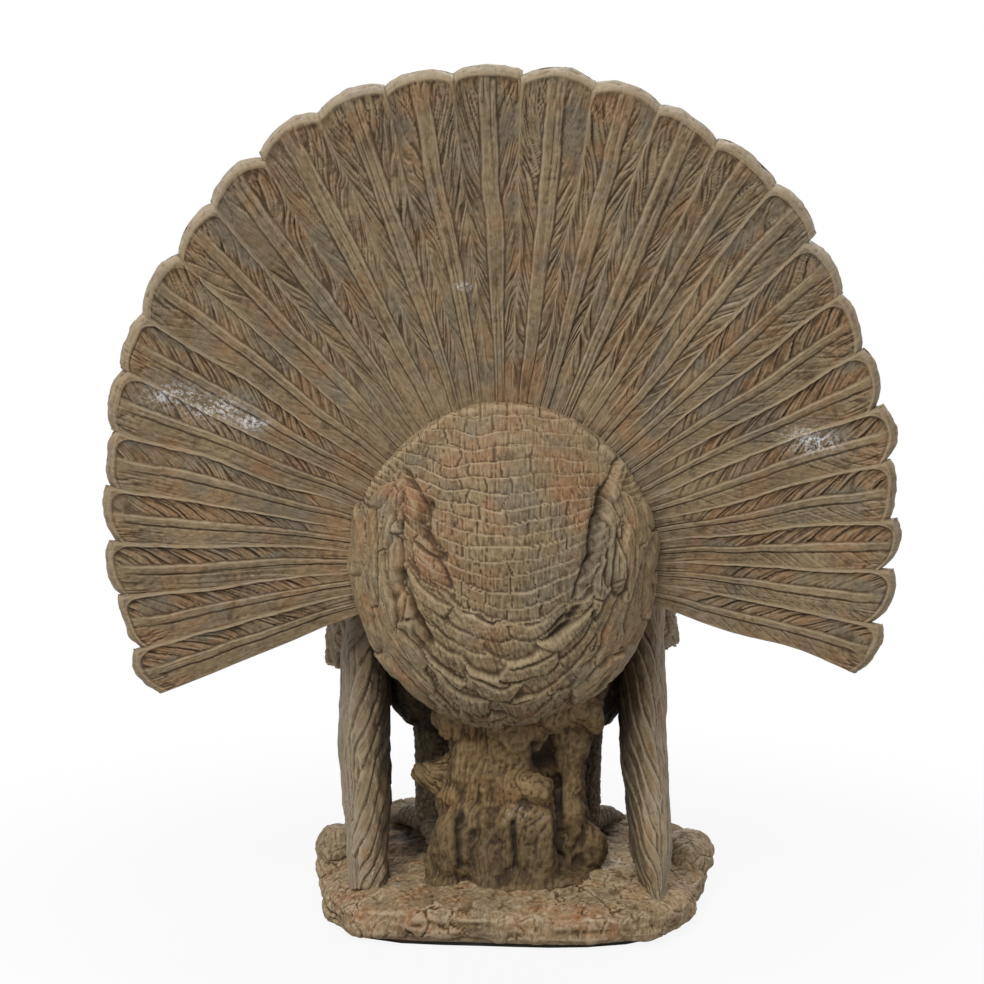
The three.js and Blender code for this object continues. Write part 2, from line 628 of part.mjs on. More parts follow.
function shankAndFoot(leg, grow = 0) {
  const x = legX(leg);
  const ground = BASE_RIM_Z + BASE_MOUND * 0.75;
  const ankle = [x, LEG_Y, ground + TOE_RADIUS];
  const shank = [[x, LEG_Y, KNEE_Z], [x, LEG_Y, (KNEE_Z + ground) / 2], ankle];
  const toes = [-TOE_SPREAD_DEG, 0, TOE_SPREAD_DEG].map((turn) => ({ turn, length: TOE_LENGTH }));
  toes.push({ turn: 180, length: HIND_TOE_LENGTH });
  const toeRadii = [SHANK_RADIUS * 0.8, TOE_RADIUS, TOE_RADIUS * 0.35];
  return toes.reduce((foot, { turn, length }) => {
    const [dx, dy] = [length * Math.sin(turn * RAD), length * Math.cos(turn * RAD)];
    const knuckle = [x + dx * 0.55, LEG_Y + dy * 0.55, ground + TOE_RADIUS * 0.9];
    const claw = [x + dx, LEG_Y + dy, ground - TOE_RADIUS * 0.3];
    return foot.add(limb([ankle, knuckle, claw], toeRadii, grow, 6));
  }, limb(shank, [KNEE_RADIUS, SHANK_RADIUS, SHANK_RADIUS], grow));
}

// Neck, head and what hangs from them
const HEAD_Z = BODY_AXIS_Z + HEAD_UP;
const HEAD_Y = BODY_FRONT_Y - HEAD_BACK;
const FACE_Y = HEAD_Y + HEAD_HALF_LENGTH;
const head = (grow = 0) => {
  return blob([0, HEAD_Y, HEAD_Z], [HEAD_HALF_WIDTH, HEAD_HALF_LENGTH, HEAD_HALF_HEIGHT], grow);
};
const neck = (grow = 0) => {
  const path = NECK.map(({ back, up }) => [0, BODY_FRONT_Y - HEAD_UP * back, BODY_AXIS_Z + HEAD_UP * up]);
  return limb(path, NECK.map(({ radius }) => HEAD_UP * radius), grow, 12);
};
const hanging = (points, size, frontY, axisZ, grow) => {
  const path = points.map(({ ahead, up, aside = 0 }) => {
    return [size * aside, frontY + size * ahead, axisZ + size * up];
  });
  return limb(path, points.map(({ radius }) => size * radius), grow);
};
const beak = (grow = 0) => hanging(BEAK, HEAD_HALF_LENGTH, FACE_Y, HEAD_Z, grow);
const snood = (grow = 0) => hanging(SNOOD, HEAD_HALF_LENGTH, FACE_Y, HEAD_Z, grow);
const wattle = (grow = 0) => hanging(WATTLE, HEAD_HALF_LENGTH, FACE_Y, HEAD_Z, grow);
const beard = (grow = 0) => hanging(BEARD, BEARD_LENGTH, BODY_FRONT_Y, BODY_AXIS_Z, grow);

// Stump
const stumpLimb = ({ path, radii, sides }, grow = 0) => {
  const places = path.map(([x, ahead, up]) => {
    return [STUMP_FOOT_RADIUS * x, FAN_FACE_Y + STUMP_FOOT_RADIUS * ahead, lerp(BASE_RIM_Z, UNDERSIDE_Z, up)];
  });
  return limb(places, radii.map((share) => STUMP_FOOT_RADIUS * share), grow, sides);
};

// Copies grown by the seat gap, which the pieces seated on them are cut by
const grown = {
  base: baseSlab(SEAT_GAP),
  body: bodyEgg(SEAT_GAP),
  hub: hubSolid(SEAT_GAP),
  rump: rumpDome(SEAT_GAP),
  pin: tailPin(SEAT_GAP),
  neck: neck(SEAT_GAP),
  head: head(SEAT_GAP),
  beak: beak(SEAT_GAP),
  snood: snood(SEAT_GAP),
  rods: WINGS.map((leg) => legRod(leg, SEAT_GAP)),
  thighs: WINGS.map((leg) => thigh(leg, SEAT_GAP)),
  legs: WINGS.map((leg) => shankAndFoot(leg, SEAT_GAP)),
  primaries: WINGS.map((wing) => primaryBlade(wing, SEAT_GAP)),
  coverts: WINGS.map((wing) => covertShield(wing, SEAT_GAP)),
  pegs: WINGS.map((wing) => wingPeg(wing, SEAT_GAP)),
};

const figure = new THREE.Group();
figure.name = "turkey_figure";
const add = (name, solid, material) => figure.add(piece(name, solid, material));

function addBase() {
  add("felt_pad", feltPad(), feltBlack);
  add("base_slab", cutBy(baseSlab(), ...grown.rods), earth);
  for (const place of ROCKS) add(place.name, cutBy(rock(place), grown.base, ...grown.legs), stone);
}

function addTorso() {
  add("body_shell", cutBy(bodyEgg(), bodyCavity(), grown.hub, ...grown.pegs), plumage);
  add("tail_hub", cutBy(hubSolid(), grown.pin), plumage);
  add("rump_dome", cutBy(rumpDome(), grown.pin), rumpBrown);
  add("tail_pin", tailPin(), steel);
}

function addFan() {
  for (let i = 0; i < FEATHER_COUNT; i++) {
    add(`tail_feather_${String(i + 1).padStart(2, "0")}`, featherSolid(i), plumage);
  }
}

function addWings() {
  WINGS.forEach((wing, i) => {
    const shield = cutBy(covertShield(wing), grown.body, grown.hub, grown.primaries[i], grown.pegs[i]);
    add(`${wing.name}_wing_primaries`, cutBy(primaryBlade(wing), grown.body, grown.hub, grown.base), plumage);
    add(`${wing.name}_wing_coverts`, shield, plumage);
    add(`${wing.name}_wing_peg`, wingPeg(wing), steel);
  });
}

function addLegs() {
  WINGS.forEach((leg, i) => {
    const around = [grown.body, grown.hub, grown.primaries[i], grown.coverts[i], grown.rods[i]];
    add(`${leg.name}_thigh`, cutBy(thigh(leg), ...around, grown.legs[i]), plumage);
    add(`${leg.name}_leg`, cutBy(shankAndFoot(leg), grown.body, grown.base, grown.rods[i]), horn);
    add(`${leg.name}_leg_rod`, legRod(leg), steel);
  });
}

function addHead() {
  add("neck", cutBy(neck(), grown.body), plumage);
  add("head", cutBy(head(), grown.neck), plumage);
  add("beak", cutBy(beak(), grown.head, grown.neck), horn);
  add("snood", cutBy(snood(), grown.head, grown.beak), plumage);
  add("wattle", cutBy(wattle(), grown.head, grown.neck, grown.beak, grown.snood), plumage);
  add("beard", cutBy(beard(), grown.body), plumage);
}

function addStump() {
  const around = [grown.base, grown.body, grown.hub, grown.rump, ...grown.thighs, ...grown.legs];
  for (const part of STUMP) {
    add(part.name, cutBy(stumpLimb(part), ...around), bark);
    around.push(stumpLimb(part, SEAT_GAP));
  }
}

addBase();
addTorso();
addFan();
addWings();
addLegs();
addHead();
addStump();

export default figure;
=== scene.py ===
"""A cast turkey figure with its tail spread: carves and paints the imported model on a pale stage."""

import math

import bpy
import numpy as np
from bpy.props import FloatProperty, FloatVectorProperty, IntProperty, PointerProperty
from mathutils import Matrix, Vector


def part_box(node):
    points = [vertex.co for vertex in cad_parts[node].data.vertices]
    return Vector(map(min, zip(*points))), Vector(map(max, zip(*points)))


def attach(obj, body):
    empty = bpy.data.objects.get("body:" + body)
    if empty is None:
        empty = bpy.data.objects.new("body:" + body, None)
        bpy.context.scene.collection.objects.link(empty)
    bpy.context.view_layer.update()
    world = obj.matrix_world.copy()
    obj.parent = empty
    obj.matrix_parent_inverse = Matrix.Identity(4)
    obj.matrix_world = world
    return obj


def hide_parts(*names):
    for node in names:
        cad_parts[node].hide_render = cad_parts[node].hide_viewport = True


bl_info = {
    "name": "Turkey Figure",
    "version": (1, 0, 0),
    "blender": (4, 5, 0),
    "location": "View3D > Sidebar > Turkey",
    "description": "Carves and paints a cast turkey figure over its packed model",
    "category": "Object",
}

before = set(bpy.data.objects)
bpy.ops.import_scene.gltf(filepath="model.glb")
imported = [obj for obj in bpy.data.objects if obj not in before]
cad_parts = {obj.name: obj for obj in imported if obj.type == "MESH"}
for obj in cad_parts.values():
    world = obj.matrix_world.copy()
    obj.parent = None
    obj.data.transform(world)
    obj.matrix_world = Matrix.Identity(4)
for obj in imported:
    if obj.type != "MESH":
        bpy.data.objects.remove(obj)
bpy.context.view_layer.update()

MM_PER_M = 1000.0

# Sizes of the solids, in millimetres, which the carved pieces follow. Tables are shares of those sizes.
BASE_HALF_WIDTH, BASE_HALF_DEPTH, BASE_SQUARENESS = 105.5, 99.0, 3.8
BASE_CENTRE_X, BASE_CENTRE_Y = 3.8, -6.0
# Waves of the base's edge: count, share of the half-width and shift
BASE_LOBES = ((3, 0.03, -1.88), (5, 0.016, -0.56))
FELT_THICKNESS, BASE_RIM_HEIGHT, BASE_MOUND, BASE_BEVEL = 2.0, 19.0, 10.0, 8.0
BASE_RIM_Z = FELT_THICKNESS + BASE_RIM_HEIGHT
BODY_AXIS_Z, BODY_HALF_WIDTH, BODY_HALF_HEIGHT = 194.0, 82.0, 87.0
BODY_FRONT_Y, BODY_REAR_Y, BREAST_RISE = 140.0, -41.4, 26.0
BODY_WIDEST_SHARE, BODY_REAR_SHARE = 0.44, 0.92
UNDERSIDE_Z = BODY_AXIS_Z - BODY_HALF_HEIGHT
TAIL_Z, FAN_FACE_Y, FAN_RADIUS, FAN_CENTRE_X, FAN_CENTRE_RISE = 201.0, -50.0, 209.0, -2.5, 47.5
FEATHER_COUNT, FAN_FROM_DEG, FAN_TO_DEG = 27, 201.7, -18.0
FEATHER_ROOT, BLADE_AT_ROOT, BLADE_AT_TIP, SEAT_GAP = 45.0, 12.0, 9.0, 0.3
FAN_DISH, RIM_BEVEL, TIP_NOTCH, EDGE_LIP = 14.0, 3.5, 4.0, 2.4
# How much longer each feather is than the circle of tips asks, as a share of its radius
FEATHER_TRIM = (
    0.06, 0.032, 0.021, 0.005, -0.01, -0.011, -0.009, -0.012, -0.01, 0, 0.016, 0.017, 0.017,
    0.014, 0.012, 0.018, 0.008, 0.007, 0, -0.021, -0.03, -0.031, -0.013, -0.004, 0.016, 0.036, 0.065,
)
RUMP_FACE_Y, RUMP_HALF_WIDTH, RUMP_UP, RUMP_DOWN, RUMP_DEPTH = -63.7, 79.0, 83.0, 88.0, 54.0
PRIMARY_THICKNESS, PRIMARY_BREADTH, PRIMARY_TUCK, PRIMARY_DROP = 14.0, 31.0, 5.5, 12.0
COVERT_REAR_Y, COVERT_DEPTH, COVERT_THICKNESS, COVERT_RISE = -16.0, 98.0, 22.0, 66.0
COVERT_FRONT_Y = COVERT_REAR_Y + COVERT_DEPTH
# Wings: name, side, tip of the flight feathers, and drop and stand-out of the coverts. A tip is how
# far out, back and below the rim it is, and how thick the feathers are on the way and there.
WINGS = (
    ("left", -1, (0.697, 0.64, 0.16, 1, 0.72), 0.736, 0.195),
    ("right", 1, (0.765, 0.767, 0.42, 0.9, 0.4), 0.62, 0.16),
)
# Flight feathers: how far down, out and back, how thick, where None is the tip's own, and how broad
PRIMARY_STATIONS = (
    (0, 0, 0, 0.8, 0.9), (0.28, 0, 0.05, 0.95, 1), (0.58, 0, 0.34, 1, 0.85),
    (0.82, 0.6, 0.7, 0.84, 0.62), (1, 1, 1, None, 0.34),
)
# Coverts: height, and how far the face, the rear edge and the front edge draw in
COVERT_LEVELS = (
    (0, 0, 0.03, 0.3), (0.25, 0.14, 0, 0.14), (0.52, 0.05, 0.02, 0.02), (0.8, 0.36, 0.14, 0),
    (1, 1.09, 0.38, 0.12),
)
HEAD_Y, HEAD_Z, HEAD_UP, HEAD_HALF = 112.0, 354.0, 160.0, (17.0, 25.0, 18.0)
FACE_Y = HEAD_Y + HEAD_HALF[1]
# Neck: how far behind the breast and above the body's axis, and radius
NECK = ((0.3, 0.288, 0.238), (0.169, 0.538, 0.169), (0.219, 0.763, 0.125), (0.231, 0.95, 0.1))
# Pieces of the face and the beard: how far ahead, up and aside, and radius
BEAK = ((-0.32, -0.16, 0, 0.4), (0.4, -0.24, 0, 0.24), (0.8, -0.6, 0, 0.065))
SNOOD = ((-0.32, 0.4, 0, 0.2), (0.32, 0.36, 0, 0.22), (0.6, -0.56, 0.36, 0.18), (0.44, -1.76, 0.44, 0.12))
WATTLE = ((-0.64, -0.48, 0, 0.28), (-0.24, -1.36, 0, 0.44), (-0.32, -2.48, 0, 0.24))
BEARD_LENGTH = 72.0
BEARD = (
    (-0.06, 0.39, 0, 0.115), (0.02, 0.12, 0, 0.1), (0.056, -0.167, 0, 0.097), (0.083, -0.833, 0, 0.028),
)
BREAST_ROWS, BREAST_FEATHERS = 14, 26
STUMP_FOOT_RADIUS = 37.0
# Stump: stops of each limb, as place across, ahead of the feathers and up, and radii
STUMP = {
    "stump_trunk": (
        (
            (-0.11, 0.27, -0.1), (-0.11, 0.27, 0.15), (-0.03, 0.32, 0.6), (-0.03, 0.38, 0.92),
            (-0.05, 0.43, 1.38),
        ),
        (1, 0.92, 0.71, 0.77, 0.88),
    ),
    "stump_side_trunk": (
        ((1.06, 0.16, -0.08), (0.96, 0.22, 0.45), (0.96, 0.35, 0.83), (1.24, 0.62, 1.3)),
        (0.4, 0.28, 0.27, 0.33),
    ),
    "stump_root_left": (
        ((-0.43, 0.11, 0.45), (-0.84, -0.22, 0.36), (-0.95, -0.35, -0.06)), (0.22, 0.19, 0.24),
    ),
    "stump_root_centre": (
        ((-0.24, 0, 0.41), (-0.24, -0.38, 0.27), (-0.22, -0.59, -0.08)), (0.24, 0.27, 0.35),
    ),
    "stump_root_right": (
        ((0.41, -0.24, 0.69), (0.45, -0.36, 0.42), (0.51, -0.49, -0.08)), (0.27, 0.24, 0.33),
    ),
    "stump_broken_branch": (
        ((-0.38, 0.27, 0.64), (-0.92, 0.19, 0.66), (-1.32, 0.14, 0.7)), (0.38, 0.27, 0.04),
    ),
}


class TurkeyCarving(bpy.types.PropertyGroup):
    """Sizes of the carving"""

    barb_pitch: FloatProperty(
        name="Barb pitch", description="Distance between two carved barbs of a feather",
        default=0.0026, unit="LENGTH"
    )
    barb_depth: FloatProperty(
        name="Barb depth", description="How deep the barbs are cut", default=0.0014, unit="LENGTH"
    )
    lip_height: FloatProperty(
        name="Lip height", description="Rise of a tail feather's upper edge", default=0.0009, unit="LENGTH"
    )
    quill_height: FloatProperty(
        name="Quill height", description="Rise of a tail feather's quill", default=0.0007, unit="LENGTH"
    )
    vane_sink: FloatProperty(
        name="Vane sink", description="How deep a tail feather's upper vane lies",
        default=0.0010, unit="LENGTH"
    )
    row_pitch: FloatProperty(
        name="Row pitch", description="Height of a row of feathers on the rump", default=0.0072, unit="LENGTH"
    )
    row_depth: FloatProperty(
        name="Row depth", description="Step from one row of the rump to the next",
        default=0.0009, unit="LENGTH"
    )
    scale_depth: FloatProperty(
        name="Breast feather depth", description="Step at the end of a breast feather",
        default=0.0024, unit="LENGTH"
    )
    bark_depth: FloatProperty(
        name="Bark depth", description="Depth of the grooves in the stump", default=0.0018, unit="LENGTH"
    )
    crack_size: FloatProperty(
        name="Crack spacing", description="Distance between the cracks of the base",
        default=0.0135, unit="LENGTH"
    )
    seed: IntProperty(name="Seed", description="Start of the uneven hand work", default=3)


class TurkeyPaint(bpy.types.PropertyGroup):
    """Colours of the paint"""

    tan: FloatVectorProperty(
        name="Tan", description="Main coat", subtype="COLOR", size=3, default=(0.256, 0.187, 0.103)
    )
    # At a quarter of its strength this is also the colour of the painted shade
    wash: FloatVectorProperty(
        name="Wash", description="Dark wash that lies in the cuts", subtype="COLOR", size=3,
        default=(0.050, 0.029, 0.0135),
    )
    # Also painted highlights on the top of the tail's rim and on the stump's ledge
    pale: FloatVectorProperty(
        name="Pale", description="Dry brushing on raised edges",
        subtype="COLOR", size=3, default=(0.43, 0.335, 0.22)
    )
    rust: FloatVectorProperty(
        name="Rust", description="Warm patches", subtype="COLOR", size=3, default=(0.290, 0.140, 0.060)
    )
    slate: FloatVectorProperty(
        name="Slate", description="Cool patches", subtype="COLOR", size=3, default=(0.160, 0.142, 0.112)
    )
    # Also painted light on the wings' outward faces and on the top of the tail's rim
    dust: FloatVectorProperty(
        name="Dust", description="Grey dusting on outward faces",
        subtype="COLOR", size=3, default=(0.36, 0.315, 0.25)
    )
    felt: FloatVectorProperty(
        name="Felt", description="Pad under the base", subtype="COLOR", size=3, default=(0.03, 0.026, 0.022)
    )
    steel: FloatVectorProperty(
        name="Steel", description="Pins and rods", subtype="COLOR", size=3, default=(0.45, 0.44, 0.42)
    )


class TurkeyStage(bpy.types.PropertyGroup):
    """Camera and light"""

    elevation: FloatProperty(
        name="Elevation", description="How far the camera looks down",
        subtype="ANGLE", default=math.radians(10)
    )
    distance: FloatProperty(
        name="Distance", description="From the camera to the figure", default=1.9, unit="LENGTH"
    )
    target: FloatVectorProperty(
        name="Target", description="Middle of the picture", subtype="TRANSLATION", size=3,
        default=(-0.0069, 0.0, 0.2253),
    )
    ambient: FloatProperty(name="Ambient", description="Strength of the light from all round", default=0.22)
    key_power: FloatProperty(name="Key lamp", description="Power of the lamp over the camera", default=41.0)
    fill_power: FloatProperty(name="Fill lamps", description="Power of each lamp at the sides", default=3.5)
    front_power: FloatProperty(
        name="Front lamp", description="Power of the lamp before the breast", default=24.0
    )


def mm(length):
    """A length of the settings in millimetres"""
    return MM_PER_M * length


def smooth(low, high, value):
    """0 below low, 1 above high and a smooth rise between them, or a fall if low is the larger"""
    share = np.clip((value - low) / (high - low), 0, 1)
    return share * share * (3 - 2 * share)


def bell(value, width):
    """1 at zero, falling away over a width"""
    return np.exp(-((value / width) ** 2))


def fract(value):
    return value - np.floor(value)


def columns(*values):
    """Arrays side by side, as the coordinates of points"""
    return np.stack(np.broadcast_arrays(*values), axis=1).astype(float)


def scatter(cells, seed):
    """Numbers from 0 to 1 that look random, one for each row of whole numbers"""
    key = np.full(cells.shape[:-1], seed * 2654435761 % 2**32, np.uint32)
    for k in range(cells.shape[-1]):
        key ^= (cells[..., k].astype(np.int64) & 0xFFFFFFFF).astype(np.uint32)
        key *= np.uint32(2246822519)
        key ^= key >> np.uint32(15)
        key *= np.uint32(3266489917)
        key ^= key >> np.uint32(13)
    return key / 2.0**32


def grain(points, seed=0):
    """Smooth noise from -1 to 1 over points of one to three coordinates"""
    low = np.floor(points)
    part = points - low
    part = part * part * (3 - 2 * part)
    total = np.zeros(len(points))
    for corner in np.ndindex(*(2,) * points.shape[1]):
        share = np.prod(np.where(np.array(corner) == 1, part, 1 - part), axis=1)
        total += share * scatter(low.astype(np.int64) + np.array(corner), seed)
    return 2 * total - 1


def rough(points, seed=0, octaves=3):
    """Noise with finer noise on it"""
    return sum(grain(points * 2**k + 17.3 * k, seed + k) * 0.5**k for k in range(octaves))


def pebbles(points, seed=0):
    """Distance to the nearest and to the next of scattered seeds, and a number for the nearest"""
    low = np.floor(points).astype(np.int64)
    near, after, tag = np.full(len(points), 9.0), np.full(len(points), 9.0), np.zeros(len(points))
    for step in np.ndindex(*(3,) * points.shape[1]):
        cell = low + np.array(step) - 1
        spot = cell + columns(*(scatter(cell, seed + k) for k in range(points.shape[1])))
        gap = np.linalg.norm(points - spot, axis=1)
        closer = gap < near
        after = np.where(closer, near, np.minimum(after, gap))
        tag = np.where(closer, scatter(cell, seed + 7), tag)
        near = np.where(closer, gap, near)
    return near, after, tag


def read(items, key, width, kind=np.float32):
    """A row of numbers for each of a mesh's items"""
    values = np.empty(len(items) * width, kind)
    items.foreach_get(key, values)
    return values.reshape(-1, width)


def points_of(piece):
    """A piece's vertices in millimetres"""
    return MM_PER_M * read(piece.data.vertices, "co", 3).astype(float)


def put(piece, points):
    """Moves a piece's vertices to points in millimetres"""
    piece.data.vertices.foreach_set("co", (points / MM_PER_M).astype(np.float32).ravel())
    piece.data.update()


def normals_of(piece):
    return read(piece.data.vertices, "normal", 3).astype(float)


def carve(piece, height, across, along):
    """Raises or cuts a piece's surface by a height in millimetres at each vertex, and lays its grain"""
    put(piece, points_of(piece) + normals_of(piece) * height[:, None])
    lay_grain(piece, across, along)


def face_out(piece):
    """Turns a closed piece's faces outwards"""
    select_only(piece)
    bpy.ops.object.mode_set(mode="EDIT")
    bpy.ops.mesh.select_all(action="SELECT")
    bpy.ops.mesh.normals_make_consistent(inside=False)
    bpy.ops.object.mode_set(mode="OBJECT")
    if volume_of(piece) < 0:
        bpy.ops.object.mode_set(mode="EDIT")
        bpy.ops.mesh.flip_normals()
        bpy.ops.object.mode_set(mode="OBJECT")
    bpy.ops.object.shade_smooth()


def volume_of(piece):
    """Six times the volume inside a closed piece, less than zero where its faces point inwards"""
    piece.data.calc_loop_triangles()
    corner = read(piece.data.loop_triangles, "vertices", 3, np.int32)
    a, b, c = points_of(piece)[corner].transpose(1, 0, 2)
    return float((a * np.cross(b, c)).sum())


def select_only(*pieces):
    bpy.ops.object.select_all(action="DESELECT")
    for piece in pieces:
        piece.select_set(True)
    bpy.context.view_layer.objects.active = pieces[0]


def skin(name, around, along, place):
    """A closed sphere of faces laid on place(turn, run). Turn goes once round, run from one pole to the
    other."""
    bpy.ops.object.select_all(action="DESELECT")
    bpy.ops.mesh.primitive_uv_sphere_add(segments=around, ring_count=along, radius=1.0, location=(0, 0, 0))
    piece = bpy.context.object
    piece.name = piece.data.name = name
    x, y, z = (points_of(piece) / MM_PER_M).T
    run = np.round(np.arccos(np.clip(z, -1, 1)) / np.pi * along) / along
    turn = np.round(np.arctan2(y, x) / (2 * np.pi) * around) % around / around
    put(piece, place(turn, run))
    face_out(piece)
    return piece, turn, run


def curve_at(stops, shares):
    """Points on the smooth curve through the stops, at shares of its spans"""
    stops = np.asarray(stops, float)
    ends = np.vstack([2 * stops[0] - stops[1], stops, 2 * stops[-1] - stops[-2]])
    at = np.clip(np.asarray(shares, float) * (len(stops) - 1), 0, len(stops) - 1 - 1e-9)
    first = at.astype(int)
    t = (at - first)[:, None]
    p = [ends[first + k] for k in range(4)]
    g = [np.maximum(np.linalg.norm(p[k + 1] - p[k], axis=1, keepdims=True) ** 0.5, 1e-6) for k in range(3)]
    lead = ((p[1] - p[0]) / g[0] - (p[2] - p[0]) / (g[0] + g[1]) + (p[2] - p[1]) / g[1]) * g[1]
    tail = ((p[2] - p[1]) / g[1] - (p[3] - p[1]) / (g[1] + g[2]) + (p[3] - p[2]) / g[2]) * g[1]
    run = p[2] - p[1]
    return p[1] + lead * t + (3 * run - 2 * lead - tail) * t**2 + (lead + tail - 2 * run) * t**3


def unit(vectors):
    return vectors / np.maximum(np.linalg.norm(vectors, axis=-1, keepdims=True), 1e-9)


def spine_of(stops, radii, shares):
    """Places, directions, two crosswise directions and radii along a limb"""
    stops = np.asarray(stops, float)
    place = curve_at(stops, shares)
    behind = curve_at(stops, np.maximum(shares - 0.01, 0))
    ahead = unit(curve_at(stops, np.minimum(shares + 0.01, 1)) - behind)
    level = np.zeros(3)
    level[np.argmin(np.abs(stops[-1] - stops[0]))] = 1
    side = unit(np.cross(ahead, level))
    radius = np.interp(shares, np.linspace(0, 1, len(radii)), radii)
    return place, ahead, side, np.cross(ahead, side), radius


def capped(run, end):
    """The share of a limb's length and how full it is there. Each rounded end takes up a share of the run."""
    share = np.clip((run - end) / (1 - 2 * end), 0, 1)
    past = np.clip(np.abs(2 * run - 1) - (1 - 2 * end), 0, 1)
    return share, np.sqrt(np.clip(1 - past**2 / (2 * end) ** 2, 0, 1))


def oval(turn, power):
    """A point on a round outline, squarer for a power below 1"""
    c, s = np.cos(2 * np.pi * turn), np.sin(2 * np.pi * turn)
    return np.sign(c) * np.abs(c) ** power, np.sign(s) * np.abs(s) ** power


def limb(name, stops, radii, around=36, along=48):
    """A tapering limb through its stops"""

    def place(turn, run):
        share, full = capped(run, 0.08)
        centre, _, side, other, radius = spine_of(stops, radii, share)
        angle = 2 * np.pi * turn[:, None]
        return centre + (radius * full)[:, None] * (np.cos(angle) * side + np.sin(angle) * other)

    return skin(name, around, along, place)


def limb_places(points, limbs):
    """For each point, its limb's number and its way along and round that limb in millimetres"""
    best = np.full(len(points), 1e9)
    number, along, across = np.zeros(len(points), int), np.zeros(len(points)), np.zeros(len(points))
    shares = np.linspace(0, 1, 60)
    for k, (stops, radii) in enumerate(limbs):
        place, _, side, other, radius = spine_of(stops, radii, shares)
        length = np.concatenate([[0], np.cumsum(np.linalg.norm(np.diff(place, axis=0), axis=1))])
        gap = np.stack([np.linalg.norm(points - p, axis=1) / r for p, r in zip(place, radius)], axis=1)
        pick = gap.argmin(axis=1)
        reach = gap[np.arange(len(points)), pick]
        off = points - place[pick]
        turn = np.arctan2((off * other[pick]).sum(1), (off * side[pick]).sum(1))
        closer = reach < best
        best = np.where(closer, reach, best)
        number = np.where(closer, k, number)
        along = np.where(closer, length[pick], along)
        across = np.where(closer, turn * radius[pick], across)
    return number, along, across


def modify(piece, kind, **settings):
    """Adds a modifier and applies it"""
    select_only(piece)
    bpy.ops.object.modifier_add(type=kind)
    added = piece.modifiers[-1]
    for key, value in settings.items():
        setattr(added, key, value)
    bpy.ops.object.modifier_apply(modifier=added.name)


def fuse(name, parts, voxel, rounds):
    """Joins overlapping parts into one skin of even faces and softens it"""
    select_only(*parts)
    if len(parts) > 1:
        bpy.ops.object.join()
    piece = bpy.context.object
    piece.name = piece.data.name = name
    modify(piece, "REMESH", mode="VOXEL", voxel_size=voxel / MM_PER_M)
    modify(piece, "SMOOTH", factor=0.5, iterations=rounds)
    bpy.ops.object.shade_smooth()
    return piece


def copy_of(node, name, voxel, rounds):
    """An even skin over a copy of a solid"""
    bpy.ops.object.select_all(action="DESELECT")
    piece = bpy.data.objects.new(name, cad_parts[node].data.copy())
    bpy.context.scene.collection.objects.link(piece)
    select_only(piece)
    bpy.ops.object.mode_set(mode="EDIT")
    bpy.ops.mesh.select_all(action="SELECT")
    bpy.ops.mesh.remove_doubles(threshold=1e-6)
    bpy.ops.object.mode_set(mode="OBJECT")
    return fuse(name, [piece], voxel, rounds)


def relaxed(values, ends, times):
    """Values averaged with their neighbours', so many times"""
    size = len(values)
    count = np.maximum(np.bincount(ends.ravel(), minlength=size), 1)
    for _ in range(times):
        total = [
            np.bincount(ends[:, 0], v[ends[:, 1]], size) + np.bincount(ends[:, 1], v[ends[:, 0]], size)
            for v in values.T
        ]
        values = 0.5 * values + 0.5 * np.stack(total, axis=1) / count[:, None]
    return values


def note(piece, name, values):
    """Keeps a number for each vertex, which the paint reads"""
    piece.data.attributes.new(name, "FLOAT", "POINT").data.foreach_set("value", values.astype(np.float32))


def lay_grain(piece, across, along):
    """A map in centimetres, whose first coordinate goes across the carved strokes and whose second follows
    them"""
    corner = read(piece.data.loops, "vertex_index", 1, np.int32).ravel()
    flat = columns(across / 10.0, along / 10.0)[corner]
    while piece.data.uv_layers:
        piece.data.uv_layers.remove(piece.data.uv_layers[0])
    piece.data.uv_layers.new(name="grain").data.foreach_set("uv", flat.astype(np.float32).ravel())


# Rounds of averaging that find fine and broad hollows, and the depth in millimetres of a full one
FINE_ROUNDS, FINE_DEPTH, BROAD_ROUNDS, BROAD_DEPTH = 4, 0.22, 40, 0.9
# Looks that the paint reads, among them painted shade, dust with painted light, and gloss with painted glints
LOOKS = ("pale", "warm", "cool", "dust", "soot", "gloss")


def finish(piece, paint, slot, nodes, **looks):
    """Notes where a piece is hollow and how it looks in places, paints it and puts it over its solids"""
    points, normal = points_of(piece), normals_of(piece)
    ends = read(piece.data.edges, "vertices", 2, np.int32)
    for name, rounds, depth in (("hollow", FINE_ROUNDS, FINE_DEPTH), ("dip", BROAD_ROUNDS, BROAD_DEPTH)):
        sunk = ((relaxed(points, ends, rounds) - points) * normal).sum(1)
        note(piece, name, np.clip(sunk / depth, -1, 1))
    for look in LOOKS:
        note(piece, look, np.clip(looks.get(look, np.zeros(len(points))), 0, 1))
    piece.data.materials.clear()
    piece.data.materials.append(paint)
    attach(piece, "root")
    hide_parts(*nodes)
    return piece


class Socket:
    """A value in a paint's nodes. Sums on it add Math nodes."""

    def __init__(self, paint, socket):
        self.paint, self.socket = paint, socket

    def math(self, operation, first, second):
        return self.paint.node("ShaderNodeMath", {"operation": operation}, {0: first, 1: second})

    def __add__(self, other):
        return self.math("ADD", self, other)

    def __sub__(self, other):
        return self.math("SUBTRACT", self, other)

    def __rsub__(self, other):
        return self.math("SUBTRACT", other, self)

    def __mul__(self, other):
        return self.math("MULTIPLY", self, other)

    __radd__, __rmul__ = __add__, __mul__


